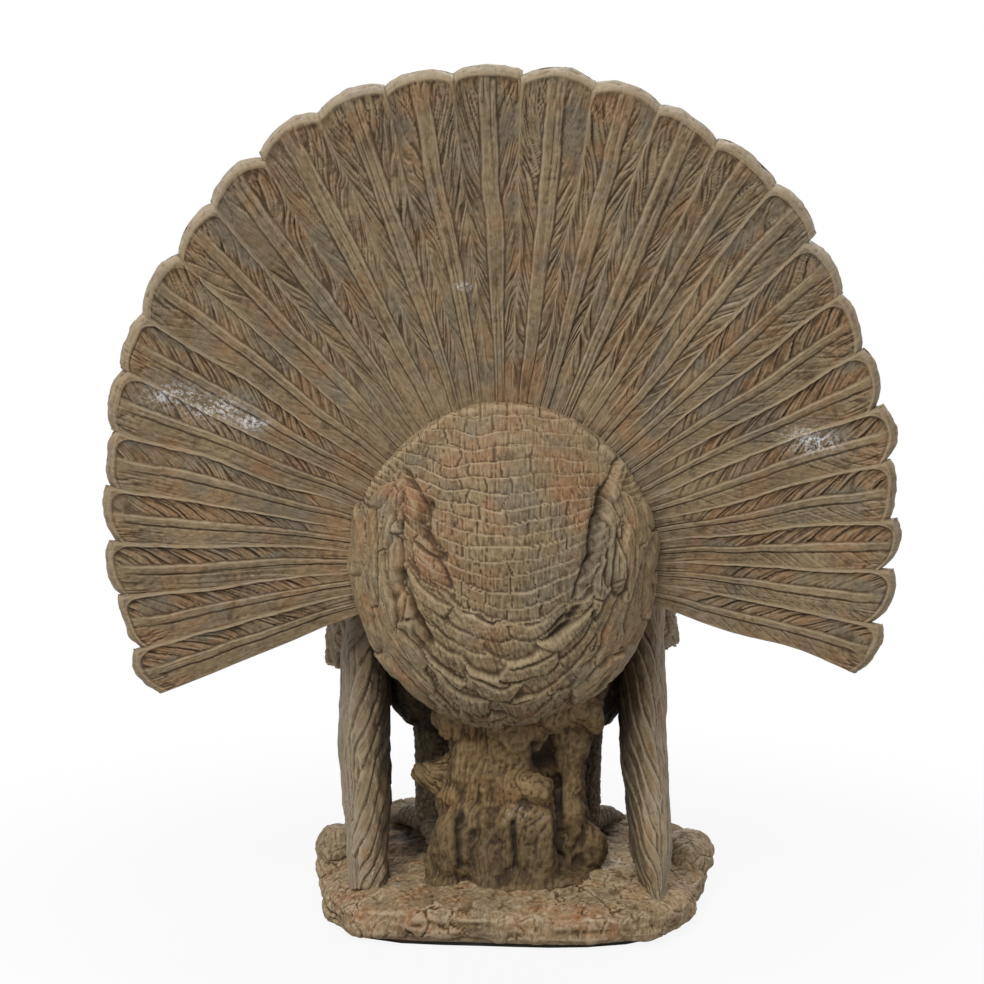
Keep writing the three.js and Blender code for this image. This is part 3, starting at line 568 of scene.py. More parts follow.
class Paint:
    """A material whose nodes are added one by one"""

    def __init__(self, name):
        self.material = bpy.data.materials.new(name)
        self.material.use_nodes = True
        self.tree = self.material.node_tree
        self.shader = self.tree.nodes["Principled BSDF"]

    def node(self, kind, settings=None, sockets=None, output=0):
        """Adds a node: its settings first, then the values or links of its sockets"""
        made = self.tree.nodes.new(kind)
        for key, value in (settings or {}).items():
            setattr(made, key, value)
        for key, value in (sockets or {}).items():
            self.feed(made.inputs[key], value)
        return Socket(self, made.outputs[output])

    def feed(self, target, value):
        if isinstance(value, Socket):
            self.tree.links.new(value.socket, target)
        else:
            target.default_value = value

    def noise(self, place, scale, detail=4.0, roughness=0.6):
        sockets = {"Vector": place, "Scale": scale, "Detail": detail, "Roughness": roughness}
        return self.node("ShaderNodeTexNoise", {}, sockets, "Fac")

    def rise(self, value, low, high):
        """0 to 1 as a value goes from low to high"""
        settings = {"interpolation_type": "SMOOTHSTEP"}
        return self.node("ShaderNodeMapRange", settings, {0: value, 1: low, 2: high})

    def mix(self, share, first, second):
        return self.node("ShaderNodeMix", {"data_type": "RGBA"}, {0: share, 6: first, 7: second}, 2)

    def stretch(self, place, scale):
        return self.node("ShaderNodeMapping", {}, {"Vector": place, "Scale": scale})

    def kept(self, name):
        return self.node("ShaderNodeAttribute", {"attribute_name": name}, {}, "Fac")

    def place(self):
        return self.node("ShaderNodeTexCoord", {}, {}, "Object")

    def bump(self, strength, distance, height):
        sockets = {"Strength": strength, "Distance": distance, "Height": height}
        return self.node("ShaderNodeBump", {}, sockets, "Normal")

    def finish(self, values):
        for key, value in values.items():
            self.feed(self.shader.inputs[key], value)
        return self.material


def colour(values, gain=1.0):
    return (*(float(v) for v in np.array(values) * gain), 1.0)


# Colour painted where the lacquer shines: a painted highlight
GLINT = (0.72, 0.73, 0.72, 1.0)


def resin_paint(
    name, colours, gain=1.0, rust=0.7, slate=0.7, wash=0.75, worn=0.5, stroke=None, pits=0.0, shine=0.36
):
    """Painted casting: tan with warm and cool patches, dark wash in the cuts, pale worn edges and a broken
    lacquer, with painted shade, painted light and painted glints where a piece notes them. A stroke gives
    the scale of fine lines across and along the carved grain."""
    paint, gain = Paint(name), np.array(gain)
    place = paint.place()

    def shade(key, strength=1.0):
        return colour(getattr(colours, key), strength * gain)

    hollow, dip, pale, dust, gloss = (paint.kept(look) for look in ("hollow", "dip", "pale", "dust", "gloss"))
    broad = paint.noise(place, 19.0)
    warm = paint.noise(paint.stretch(place, (1.0, 1.3, 1.1)), 43.0, 5.0, 0.62) + 0.2 * paint.kept("warm")
    cool = paint.noise(paint.stretch(place, (-1.2, 1.0, 1.0)), 37.0, 5.0) + 0.2 * paint.kept("cool")
    wiped = paint.noise(paint.stretch(place, (1.1, 1.0, -0.9)), 29.0)
    fleck = paint.noise(place, 240.0, 4.0, 0.65)
    speck = paint.noise(place, 1000.0, 2.0, 0.7)
    if stroke:
        lines = paint.stretch(paint.node("ShaderNodeUVMap", {"uv_map": "grain"}), (*stroke, 1.0))
        line = paint.noise(lines, 1.0, 4.0, 0.7)
    else:
        line = paint.noise(paint.stretch(place, (1.0, 1.0, 0.45)), 520.0, 4.0, 0.7)

    cut = paint.rise(hollow + 0.5 * dip + 0.6 * (line - 0.5), 0.05, 1.0)
    cut = cut * (0.5 + 0.5 * paint.rise(wiped, 0.36, 0.6))
    # Dark patches by noise, a little more in broad hollows
    dark_patch = paint.rise(paint.noise(paint.stretch(place, (1.0, 1.0, 0.6)), 85.0) + 0.12 * dip, 0.54, 0.7)
    raised = paint.rise(line - 0.7 * hollow - 0.15 * dip, 0.6, 1.3)
    rubbed = (0.2 + 0.8 * paint.rise(fleck, 0.36, 0.6)) * paint.rise(hollow, 0.8, -0.1)
    # Painted shade, where a piece notes that it lies in shade
    soot = paint.kept("soot") * (0.8 + 0.2 * paint.rise(fleck, 0.62, 0.4))
    # Painted glint: the lacquer's highlight painted into the colour at the noted spots, which are also less
    # rough
    glint = gloss * paint.rise(paint.noise(place, 460.0, 4.0, 0.75), 0.46, 0.6)
    layers = [
        (paint.rise(warm, 0.46, 0.72) * rust, shade("rust")),
        (paint.rise(cool, 0.5, 0.68) * slate, shade("slate")),
        (paint.rise(fleck, 0.5, 0.3) * 0.45, shade("wash", 1.8)),
        (paint.rise(fleck, 0.52, 0.75) * 0.4, shade("pale", 0.72)),
        (paint.rise(line, 0.6, 0.32) * 0.5, shade("wash", 1.7)),
        (paint.rise(line, 0.55, 0.8) * 0.3, shade("pale", 0.8)),
        (cut * wash, shade("wash")),
        (dark_patch * 0.68, shade("wash", 1.4)),
        (raised * worn, shade("pale", 0.85)),
        (pale * rubbed, shade("pale")),
        # Grey dust, and painted light, where a piece notes them
        (dust * paint.rise(line - 0.35 * hollow, 0.3, 0.62), colour(colours.dust)),
    ]
    if pits:
        pit = paint.rise(paint.noise(place, 420.0, 3.0, 0.8), 0.47, 0.36)
        layers.append((pit * pits, shade("wash", 1.3)))
    # Painted shade in the wash colour, then the painted glints of the lacquer
    layers += [(soot, shade("wash", 0.25)), (glint * 0.9, GLINT)]
    coat = paint.mix(paint.rise(broad, 0.35, 0.66), shade("tan", 0.8), shade("tan", 1.18))
    for share, layer in layers:
        coat = paint.mix(share, coat, layer)

    sheen = paint.rise(paint.noise(place, 23.0, 2.0), 0.58, 0.7) * paint.rise(speck, 0.47, 0.6)
    return paint.finish({
        "Base Color": coat,
        "Roughness": 0.8 - 0.18 * paint.rise(line, 0.4, 0.7) - 0.2 * sheen - 0.3 * glint,
        "Coat Weight": 0.45 * sheen + 0.4 * glint,
        "Coat Roughness": 0.22,
        "Specular IOR Level": shine,
        "Normal": paint.bump(0.7, 0.0008, 0.6 * line + 0.25 * fleck + 0.15 * speck),
    })


def felt_paint(colours):
    """Dark felt: matted fibres with lint"""
    paint = Paint("felt")
    place = paint.place()
    fibre = paint.noise(paint.stretch(place, (1.0, 2.6, 1.0)), 1300.0, 4.0, 0.75)
    lint = paint.rise(paint.noise(place, 380.0, 3.0), 0.62, 0.75)
    coat = paint.mix(fibre, colour(colours.felt, 0.6), colour(colours.felt, 1.5))
    coat = paint.mix(lint * 0.3, coat, colour(colours.slate))
    relief = paint.bump(0.6, 0.0005, fibre)
    return paint.finish({"Base Color": coat, "Roughness": 0.9 + 0.1 * fibre, "Normal": relief})


def steel_paint(colours):
    """Drawn steel rod: lines along it and a little tarnish"""
    paint = Paint("steel")
    place = paint.place()
    drawn = paint.noise(paint.stretch(place, (9.0, 9.0, 0.4)), 260.0, 3.0)
    tarnish = paint.rise(paint.noise(place, 90.0), 0.5, 0.75)
    coat = paint.mix(drawn, colour(colours.steel, 0.8), colour(colours.steel, 1.15))
    return paint.finish({
        "Base Color": paint.mix(tarnish * 0.5, coat, colour(colours.rust)),
        "Metallic": 1.0 - 0.6 * tarnish,
        "Roughness": 0.3 + 0.3 * drawn,
        "Normal": paint.bump(0.2, 0.0002, drawn),
    })


# About the mean of the strokes before it is taken away
STROKE_MEAN = 0.72


def strokes(across, along, width, length, seed):
    """Uneven lines cut side by side into a surface: below zero in a cut, above zero between two cuts"""
    bend = 0.4 * grain(columns(across / (5 * width), along / length), seed)
    coarse = np.abs(grain(columns(across / width + bend, along / length), seed + 1))
    fine = np.abs(grain(columns(across / (0.4 * width) + bend, along / (0.6 * length)), seed + 2))
    return np.minimum(1.0, 2.6 * coarse) * (0.62 + 0.38 * np.minimum(1.0, 2.0 * fine)) - STROKE_MEAN


def barb_pattern(lean, size, seed):
    """Bundles of barbs with a cut between two bundles, and finer lines within each"""
    way = lean / (4.6 * size) + 0.45 * grain(columns(lean / 21.0), seed + 1)
    share, tag = fract(way), scatter(np.floor(way)[:, None].astype(np.int64), seed + 2)
    cut = bell(np.minimum(share, 1.35 * (1 - share)), 0.09) * (0.3 + 1.1 * tag)
    line = 1 - np.abs(2 * fract(lean / size + 0.25 * grain(columns(lean / 3.0), seed + 3)) - 1)
    return (share - 0.5) * (1.5 * tag - 0.3) + 0.75 * (line - 0.5) - cut


# Radius on the fan from which the carving shows beside the rump, and the length of a row of faces from there
CARVED_FROM, FEATHER_ROW = 80.0, 0.8


def fan_reach(turn):
    """From the feathers' common root to the circle of their tips, in a direction"""
    along = -FAN_CENTRE_X * np.cos(turn) - FAN_CENTRE_RISE * np.sin(turn)
    return -along + np.sqrt(along**2 + FAN_RADIUS**2 - FAN_CENTRE_X**2 - FAN_CENTRE_RISE**2)


def fan_dish(radius):
    return FAN_DISH * np.maximum(0, (radius - RUMP_DOWN) / (FAN_RADIUS - RUMP_DOWN)) ** 2


def vane_carving(w, half, radius, tip, index, carving):
    """Height of a tail feather's back, its looks, and the way across and along its strokes.
    The place is w millimetres above the quill and tip millimetres from the feather's end. Towards the top of
    the fan the quills are broad, the vanes sink on both sides of them and no edge shows between feathers."""
    seed = carving.seed + 31 * index
    middle = (FEATHER_COUNT - 1) / 2
    aside = smooth(3.0, 7.0, abs(index - middle))
    top = 1 - aside
    out = smooth(CARVED_FROM, CARVED_FROM + 40, radius)
    far = smooth(CARVED_FROM + 4, CARVED_FROM + 42, radius)
    narrow = np.clip(half / 12.0, 0.35, 1)
    away = np.abs(w)
    above = away if index == middle else w
    wander = 0.35 * grain(columns(radius / 15.0), seed + 12) + 0.2 * grain(columns(radius / 4.5), seed + 13)
    wn = w / narrow + wander
    lower, upper = -2.4 - 1.7 * top, 1.6 + 2.4 * top

    corner = (2.5 + 5.0 * aside) * narrow
    across, ends = half - 0.6 * narrow - above + wander, tip - 1.0 - 1.4 * wander
    over = np.hypot(np.maximum(corner - across, 0), np.maximum(corner - ends, 0))
    inside = corner - over - np.minimum(np.maximum(corner - across, corner - ends), 0)
    kept = 0.4 + 0.6 * smooth(-0.5, 0.2, grain(columns(radius / 19.0), seed + 16))
    edge = np.maximum(aside * kept, 0.4 * smooth(8, 4, tip) * kept) * out
    lip = bell(inside, 0.5) * edge
    height = mm(carving.lip_height) * lip - 0.8 * bell(inside - 1.05, 0.45) * edge
    height -= 0.8 * edge * smooth(0.6, 0.0, half - above)
    sunk = mm(carving.vane_sink) * out * smooth(0.0, 2.5, inside)
    height -= sunk * (smooth(upper - 0.3, upper + 1.6, wn) + 0.9 * top * smooth(lower + 0.3, lower - 1.6, wn))

    end = smooth(3, 17 + 6 * top, tip)
    shaft = smooth(lower - 0.35, lower + 0.35, wn) * smooth(upper + 0.35, upper - 0.35, wn) * end
    scratch = strokes(w, radius, 1.5 + 0.9 * top, 90.0, seed + 15)
    height += shaft * (mm(carving.quill_height) + (0.4 + 0.35 * top) * (scratch - 0.03))
    height -= (0.6 * bell(wn - upper - 0.7, 0.45) + 0.7 * bell(wn - lower + 0.7, 0.5)) * end

    slope = 1.1 + 1.6 * top
    stretch = math.hypot(1, slope)
    lean = radius - slope * away - 0.03 * aside * away**2
    lean += (2.2 + 2.4 * top) * grain(columns(radius / 17.0, w / (12.0 - 5.0 * top)), seed + 5)
    tuft = lean / (6.6 * stretch) + 0.45 * grain(columns(lean / 21.0), seed + 6)
    share, number = fract(tuft), np.floor(tuft)
    tag = scatter(columns(number, w > 0).astype(np.int64), seed + 8)
    lean = lean + (1.4 * tag - 0.7) * slope * away * 0.45
    cut = bell(np.minimum(share, 1.3 * (1 - share)) * 6.6, 0.55) * (0.2 + 1.1 * tag)
    long = 19.0 - 13.0 * top
    barbs = 0.9 * strokes(lean, w, mm(carving.barb_pitch) * stretch / 1.4, long, seed + 20)
    barbs += 0.8 * (share - 0.5) * (0.3 + tag) - (0.85 - 0.35 * top) * cut * smooth(0.02, 0.25, away / half)
    low = 0.14 + 0.86 * top + (0.16 * aside if index > middle else 0.0)
    vane = smooth(upper + 0.2, upper + 1.4, wn)
    vane = vane + np.where(wn < 0, low, 0) * smooth(lower - 0.2, lower - 1.4, wn)
    place = vane * smooth(-0.2, 1.0, inside + 9 * top) * far * smooth(0.5, 5 + 8 * top, tip)
    worn = smooth(-0.1, -0.5, grain(columns(radius / 23.0, w / 13.0), seed + 17))
    height += mm(carving.barb_depth) * barbs * place * (1 - 0.7 * worn)

    lined = np.where(wn < lower, 1 - 0.8 * low * far, 1 - far)
    lined = lined * smooth(-0.6, 0.1, grain(columns(radius / 33.0, w / 7.0), seed + 10))
    height += 0.65 * strokes(w, radius, 2.0, 70.0, seed + 9) * lined
    ticks = smooth(19 + 6 * top, 9, tip) * smooth(0.8, 2.6, tip)
    ticks = ticks * np.where(wn < lower + 0.2, 0.4 + 0.6 * aside, 0.85 * top)
    height += 1.15 * strokes(w, radius, 1.7, 13.0, seed + 7) * ticks
    height += 0.2 * rough(columns(radius / 2.1, w / 2.1), seed + 14, 2)
    looks = {
        "pale": np.maximum(0.7 * lip, 0.35 * bell(wn - upper + 0.3, 0.45) * out * end),
        "warm": np.maximum(np.where(w > 0, 0.3 + 0.5 * aside, 0.3 * top) * place, 0.6 * ticks) * (1 - worn),
        "cool": 0.55 * worn * place,
    }
    barbed = place > 0.25
    return height, looks, np.where(barbed, lean / stretch * 1.4, w), np.where(barbed, away, radius)


def edge_sway(edge, radius, carving):
    """How far the joint between two tail feathers wanders from its straight line, as an angle"""
    wander = 1.7 * grain(columns(radius / 41.0), carving.seed + 700 + 3 * edge)
    return wander * smooth(CARVED_FROM, CARVED_FROM + 32, radius) / radius


# Spots on the tail where its lacquer still shines and a glint is painted into its colour: place across and
# up, and size
LACQUER_AND_PAINTED_GLINT = (
    (-174.0, 289.0, 12.0), (-152.0, 281.0, 13.0), (-132.0, 273.0, 8.0), (160.0, 264.0, 13.0),
    (-22.0, 345.0, 4.0),
)


def tail_feather(index, carving, paint):
    """One tail feather: a loop of faces round its section, row by row from its root over the thick rim"""
    backs, walls, fronts, hidden_rows, rim_rows = 56, 3, 13, 8, 9
    even = np.linspace(0, 1, backs)
    across_back = even - 0.3 * np.sin(2 * np.pi * even) / (2 * np.pi)
    share_at = np.concatenate([across_back, np.ones(walls), np.linspace(1, 0, fronts), np.zeros(walls)])
    wall = np.linspace(1, 0, walls + 2)[1:-1]
    depth_at = np.concatenate([np.ones(backs), wall, np.zeros(fronts), wall[::-1]])
    around = len(share_at)
    step = math.radians((FAN_TO_DEG - FAN_FROM_DEG) / FEATHER_COUNT)
    start = math.radians(FAN_FROM_DEG) + index * step
    middle = (FEATHER_COUNT - 1) / 2
    extra = FEATHER_TRIM[index] * FAN_RADIUS
    longest = float(fan_reach(start + step / 2)) + extra - RIM_BEVEL
    shown = (CARVED_FROM - FEATHER_ROOT) / (longest - FEATHER_ROOT)
    rows = int((longest - CARVED_FROM) / FEATHER_ROW)
    way_at = np.concatenate([
        np.linspace(0, shown, hidden_rows, endpoint=False), np.linspace(shown, 1, rows), np.ones(rim_rows),
    ])
    rim_at = np.concatenate([np.zeros(hidden_rows + rows), np.linspace(0, 1, rim_rows + 1)[1:]])
    along = len(way_at) + 1
    seed = carving.seed + 31 * index
    kept = {}

    def place(turn, run):
        column = np.round(turn * around).astype(int) % around
        row = np.clip(np.round(run * along).astype(int) - 1, 0, len(way_at) - 1)
        pole = (run == 0) | (run == 1)
        share = np.where(pole, 0.5, share_at[column])
        rim, layer = rim_at[row], depth_at[column]
        depth = np.where(run == 0, 0.5, layer * (1 - 0.95 * rim) + (layer < 1) * 0.03 * rim)
        turned = start + share * step
        lopsided = 1.6 * grain(columns(share * 1.7, np.full_like(share, index)), carving.seed + 40)
        reach = fan_reach(turned) + extra - TIP_NOTCH * np.abs(2 * share - 1) ** 2.4 + lopsided
        radius = FEATHER_ROOT + way_at[row] * (reach - RIM_BEVEL * depth - FEATHER_ROOT)
        radius += (rim > 0) * 4 * depth * (1 - depth) * 1.2
        up = share if index <= middle else 1 - share
        half = radius * abs(step) / 2
        w = (2 * up - 1) * half
        tip = np.maximum(reach - RIM_BEVEL - radius, 0)
        height, looks, lean, away = vane_carving(w, half, radius, tip, index, carving)
        station = np.clip((radius - FEATHER_ROOT) / (reach - FEATHER_ROOT), 0, 1)
        tilt = EDGE_LIP * (-np.abs(share - 0.5) if index == middle else up - 0.4)
        blade = BLADE_AT_ROOT + (BLADE_AT_TIP - BLADE_AT_ROOT) * station + station * tilt
        flat = columns(radius * np.cos(turned), radius * np.sin(turned))
        height += 0.7 * rough(flat / 21.0, carving.seed + 11, 2) * smooth(78, 100, radius)
        dent = smooth(0.1, 0.7, grain(flat / (13.0, 19.0), carving.seed + 60))
        dent = dent * smooth(0.35, 0.8, np.abs(w) / half) * smooth(7, 3, abs(index - middle))
        height -= 1.2 * dent * smooth(90, 120, radius) * smooth(6, 20, tip)
        front = 0.6 * barb_pattern(lean, 3.4, seed + 20) * smooth(90, 130, radius) + 1.1 * bell(w, 1.8)
        lump = 0.9 * rough(columns(w / 7.0, depth * 2.0, np.full_like(w, index)), seed + 13, 3)
        radius = radius + np.where(rim > 0, lump * np.minimum(1, 4 * rim), 0)
        sway = (1 - share) * edge_sway(index, radius, carving) + share * edge_sway(index + 1, radius, carving)
        bulge = np.where((layer > 0) & (layer < 1), 0.5, -SEAT_GAP / 2)
        angle = turned + sway + bulge * (1 - 2 * share) / radius
        y = FAN_FACE_Y - fan_dish(radius) - depth * (blade + height) + (1 - depth) * front * (rim == 0)
        # The rim is paler and greyer all round, and more so at the top of the fan: partly a painted highlight
        # where light falls on it
        crest = np.minimum(1, 3 * rim) * (0.3 + 0.7 * smooth(0.3, 0.9, np.sin(turned)))
        back = layer == 1
        spot = columns(radius * np.cos(angle), TAIL_Z + radius * np.sin(angle))
        # Glossy lacquer with a painted glint at these spots
        shine = sum(bell(np.linalg.norm((spot - at) * (1, 2.2), axis=1), size) for *at, size in LACQUER_AND_PAINTED_GLINT)
        kept.update({look: back * value for look, value in looks.items()})
        kept.update(gloss=back * shine, dust=0.5 * crest, lean=lean, away=away)
        kept["pale"] = np.maximum(kept["pale"], crest)
        return columns(spot[:, 0], y, spot[:, 1])

    node = f"tail_feather_{index + 1:02d}"
    piece, _, _ = skin(f"carved_{node}", around, along, place)
    lay_grain(piece, kept.pop("lean"), kept.pop("away"))
    return finish(piece, paint, "tail_plumage", [node], **kept)


def plates(way, along, pitch, length, jitter, whole, seed, lens):
    """Rows of plates: how far below its upper edge a point is, how near to a split, and its plate's number. A
    share of the plates is whole, with no split at its end, and the lens rounds the lower edges."""

    def plate(row):
        offset = scatter(row[:, None].astype(np.int64), seed)
        spot = along / length * (0.75 + 0.5 * offset) + 7 * offset
        spot = spot + 0.15 * grain(columns(way / 9.0, along / 21.0), seed + 1)
        return fract(spot), scatter(columns(row, np.floor(spot)).astype(np.int64), seed + 2)

    edge, tag = plate(np.floor(way / pitch))
    way = way + pitch * (jitter * (tag - 0.5) - lens * (2 * edge - 1) ** 2)
    edge, tag = plate(np.floor(way / pitch))
    split = bell(np.minimum(edge, 1 - edge) * length, 0.6) * (tag > whole)
    return 1 - fract(way / pitch), split, tag


# Leaves and folds on the rump: place across and up, half-width and half-length in millimetres, and lean
RUMP_FOLDS = (
    (-0.61, 0.42, 5.5, 16.0, -0.4), (-0.50, 0.06, 4.5, 12.0, -0.75), (-0.73, 0.12, 5.0, 19.0, -0.05),
    (0.72, 0.52, 4.5, 13.0, 0.4), (0.63, 0.25, 5.0, 14.0, 0.25), (0.53, -0.03, 4.5, 14.0, 0.4),
    (0.76, 0.10, 5.0, 19.0, 0.1), (-0.60, -0.28, 4.5, 16.0, -0.45),
)
# Deep hollows beside the folds: place across and up at both ends, and width in millimetres
RUMP_HOLLOWS = (
    (0.645, 0.51, 0.56, 0.21, 3.2), (0.56, 0.21, 0.51, -0.07, 4.2), (-0.49, 0.43, -0.55, 0.31, 2.6),
    (-0.54, 0.29, -0.43, 0.13, 2.8), (0.47, -0.2, 0.3, -0.36, 2.4), (-0.66, 0.0, -0.5, -0.42, 2.2),
)
# Warm and cool places on the rump: place across and up, and size
RUMP_TINTS = {
    "warm": ((-0.45, 0.08, 0.2), (0.46, 0.45, 0.16), (-0.1, 0.72, 0.2), (-0.62, 0.45, 0.12)),
    "cool": ((0.03, 0.44, 0.2), (0.6, 0.2, 0.16), (0.52, -0.05, 0.14), (0.25, 0.0, 0.16)),
}


def rump_carving(points, carving):
    """Height of the rump's plates and their looks, with the two directions of their strokes"""
    seed, size = carving.seed + 900, 85.0
    x, z = points[:, 0] / RUMP_HALF_WIDTH, (points[:, 2] - TAIL_Z) / size
    sway = rough(points / 26.0, seed, 2)
    bark = rough(points / 15.0, seed + 40, 2)
    pole = 0.62 - 0.09 * x
    level = pole + (z - pole) / np.sqrt(np.maximum(1 - (x / 0.82) ** 2, 0.16)) + 0.035 * sway
    low = level + 0.08 * bark < -0.26
    across = points[:, 0] * (1 + 0.16 * x**2)
    ring, round_way = np.hypot(x, 0.9 * (z - 0.05)) * size, np.arctan2(x, -(z - 0.05)) * 66.0
    flank = np.abs(x) + 0.07 * bark + 0.22 * smooth(-0.25, -0.85, z)
    aside = (flank > 0.63) & (z < 0.56 - 0.2 * smooth(0.6, 0.9, np.abs(x)) + 0.08 * bark)

    rows = plates(
        level * size + 0.9 * bark, across, pitch=mm(carving.row_pitch), length=15.0, jitter=0.2, whole=0.55,
        seed=seed + 10, lens=0.05,
    )
    bricks = plates(
        level * size + 3.0 * bark, across + 5 * bark, pitch=11.5, length=31.0, jitter=0.6, whole=0.45,
        seed=seed + 20, lens=0.3,
    )
    bands = plates(
        ring + 1.6 * bark, round_way + 3.0 * bark, pitch=7.8, length=42.0, jitter=0.4, whole=0.3,
        seed=seed + 30, lens=0.5,
    )
    share, split, tag = (np.where(aside, c, np.where(low, b, a)) for a, b, c in zip(rows, bricks, bands))
    coarse = low | aside
    pillow = smooth(0.0, 0.16, share) * smooth(1.0, 0.6, share)
    plate = np.where(aside, 2.4, 2.0) * pillow * (0.7 + 0.6 * tag) + 2.0 * (tag - 0.5) - 1.7 * split * pillow
    row = (1 - share) * (0.6 + 0.4 * tag) + 0.35 * bell(share - 0.08, 0.05)
    row = row - 1.8 * split * smooth(0, 0.1, share)
    height = mm(carving.row_depth) * np.where(coarse, plate, row)
    stroke_way, along = np.where(aside, ring, across), np.where(aside, round_way, level * size)
    slanted = stroke_way + np.where(low & ~aside, 0.35, 0.0) * along
    cuts = strokes(slanted, along, np.where(coarse, 1.8, 1.4), np.where(aside, 40.0, 11.0), seed + 60)
    height += np.where(coarse, 0.65, 0.5) * cuts
    height += 1.3 * rough(points / 24.0, seed + 80, 2) + 0.4 * rough(points / 3.0, seed + 81, 3)
    for fx, fz, broad, long, lean in RUMP_FOLDS:
        dx, dz = (x - fx) * RUMP_HALF_WIDTH, (z - fz) * size
        c, s = math.cos(lean), math.sin(lean)
        side, end = (c * dx - s * dz) / broad, (s * dx + c * dz) / long
        off = np.hypot(side, end) + 0.25 * bark
        sharp = smooth(-0.5, 0.6, -np.sign(fx) * side - 0.3 * end)
        leaf = (1.6 + 1.6 * sharp) * smooth(1.0, 0.6 * (1 - sharp), off)
        height += leaf - 1.9 * sharp * bell(off - 1.1, 0.16)
    deep = np.zeros(len(points))
    for x0, z0, x1, z1, width in RUMP_HOLLOWS:
        dx, dz = x1 - x0, z1 - z0
        run = np.clip(((x - x0) * dx + (z - z0) * dz) / (dx**2 + dz**2), 0, 1)
        off = np.hypot((x - x0 - run * dx) * RUMP_HALF_WIDTH, (z - z0 - run * dz) * size)
        deep = np.maximum(deep, bell(off + 1.5 * bark, width))
    height -= 3.6 * deep
    worn = bell(share - 0.08, 0.06) * np.where(coarse, 0.45, 0.5) * (1 - split) * smooth(-0.6, 0.2, sway)
    reach = np.hypot(x, z * size / np.where(z > 0, RUMP_UP, RUMP_DOWN))
    hem = bell(reach - 0.982, 0.012) * smooth(0.2, 0.5, z)
    height += 1.1 * hem
    tints = {
        look: sum(bell(np.hypot(x - tx, z - tz), wide) for tx, tz, wide in spots)
        for look, spots in RUMP_TINTS.items()
    }
    # Painted shade: darker towards the bottom of the rump and in its deep hollows
    tints["soot"] = np.maximum(0.25 * smooth(-0.75, -1.0, z + 0.05 * bark), 0.4 * deep)
    return height, {"pale": np.maximum(worn, 0.7 * hem), **tints}, stroke_way, along


def rump(carving, paint):
    """The rounded rump over the feather roots, carved in rows that meet at its two upper corners"""
    around, along, behind = 336, 290, 0.94

    def place(turn, run):
        x = -np.cos(np.pi * run)
        size = np.sin(np.pi * run)
        turned = np.pi * np.minimum(turn / behind, 1)
        back = turn > behind
        cross = 1 - 2 * (turn - behind) / (1 - behind)
        z = np.where(back, -size * cross, size * np.cos(turned))
        y = np.where(back, 0, -size * np.sin(turned))
        z = TAIL_Z + z * np.where(z > 0, RUMP_UP, RUMP_DOWN)
        return columns(RUMP_HALF_WIDTH * x, RUMP_FACE_Y + RUMP_DEPTH * y, z)

    piece, _, _ = skin("carved_rump", around, along, place)
    points = points_of(piece)
    height, looks, across, way = rump_carving(points, carving)
    height *= smooth(0.0, 3.0, RUMP_FACE_Y - points[:, 1])
    carve(piece, height, across, way)
    return finish(piece, paint, "rump_plumage", ["rump_dome"], **looks)


def lapped_feathers(way, across, length, depth, seed):
    """Rows of lapped round-ended feathers. Way runs towards their tips in millimetres, and across counts
    feathers."""
    row = np.floor(way / length)

    def local(number):
        spot = across + 0.5 * (number % 2) + 0.12 * grain(columns(number, np.floor(across)), seed)
        u = spot - np.round(spot)
        tag = scatter(columns(number, np.round(spot)).astype(np.int64), seed + 1)
        end = (number + 1) * length + length * (0.62 + 0.2 * tag) * (1 - (2 * u) ** 2)
        return u, tag, end

    over, under = local(row - 1), local(row)
    upper = way < over[2]
    u, tag, end = (np.where(upper, a, b) for a, b in zip(over, under))
    left = np.maximum(end - way, 0)
    height = depth * (1 - left / (1.7 * length)) * smooth(0, 0.9, left)
    height += 0.5 * depth * bell(u, 0.07) * smooth(1, 6, left)
    lean = left + 9.0 * np.abs(u)
    vane = smooth(0.05, 0.12, np.abs(u)) * smooth(0.6, 2.5, left)
    height += 0.32 * depth * barb_pattern(lean, 2.3, seed + 3) * vane
    return height, bell(left - 1.0, 1.1), lean, 20.0 * np.abs(u)


def body_share(t):
    """How wide the body is at a share of its length, as a share of its widest"""
    behind = (BODY_WIDEST_SHARE - t) / BODY_WIDEST_SHARE
    ahead = (t - BODY_WIDEST_SHARE) / (1 - BODY_WIDEST_SHARE)
    rear = np.sqrt(np.clip(1 - (1 - BODY_REAR_SHARE**2) * behind**2, 0, 1))
    return np.where(t < BODY_WIDEST_SHARE, rear, np.sqrt(np.clip(1 - ahead**2, 0, 1)))


def breast(carving, paint):
    """The egg-shaped body, lapped with breast feathers that point back"""
    around, along, length = 296, 212, 232.0

    def place(turn, run):
        t = 0.995 * np.sin(np.clip((run - 0.05) / 0.95, 0, 1) * np.pi / 2)
        size = body_share(t) * smooth(0, 0.05, run)
        angle = 2 * np.pi * turn
        y = BODY_REAR_Y + t * (BODY_FRONT_Y - BODY_REAR_Y)
        z = BODY_AXIS_Z + BREAST_RISE * t * t + BODY_HALF_HEIGHT * size * np.sin(angle)
        return columns(BODY_HALF_WIDTH * size * np.cos(angle), y, z)

    piece, turn, run = skin("carved_breast", around, along, place)
    points = points_of(piece)
    seed = carving.seed + 1500
    height, worn, lean, away = lapped_feathers(
        (1 - run) * length, turn * BREAST_FEATHERS, 0.95 * length / BREAST_ROWS, mm(carving.scale_depth), seed
    )
    height += 0.7 * rough(points / 24.0, seed + 9, 2)
    carve(piece, height * smooth(0.05, 0.08, run) * smooth(1.0, 0.97, run), lean, away)
    # Painted shade on the underside, fading out towards the front
    below = 0.35 * smooth(-0.2, -0.8, normals_of(piece)[:, 2]) * smooth(70.0, 30.0, points[:, 1])
    return finish(piece, paint, "plumage", ["body_shell"], pale=0.6 * worn, soot=below)


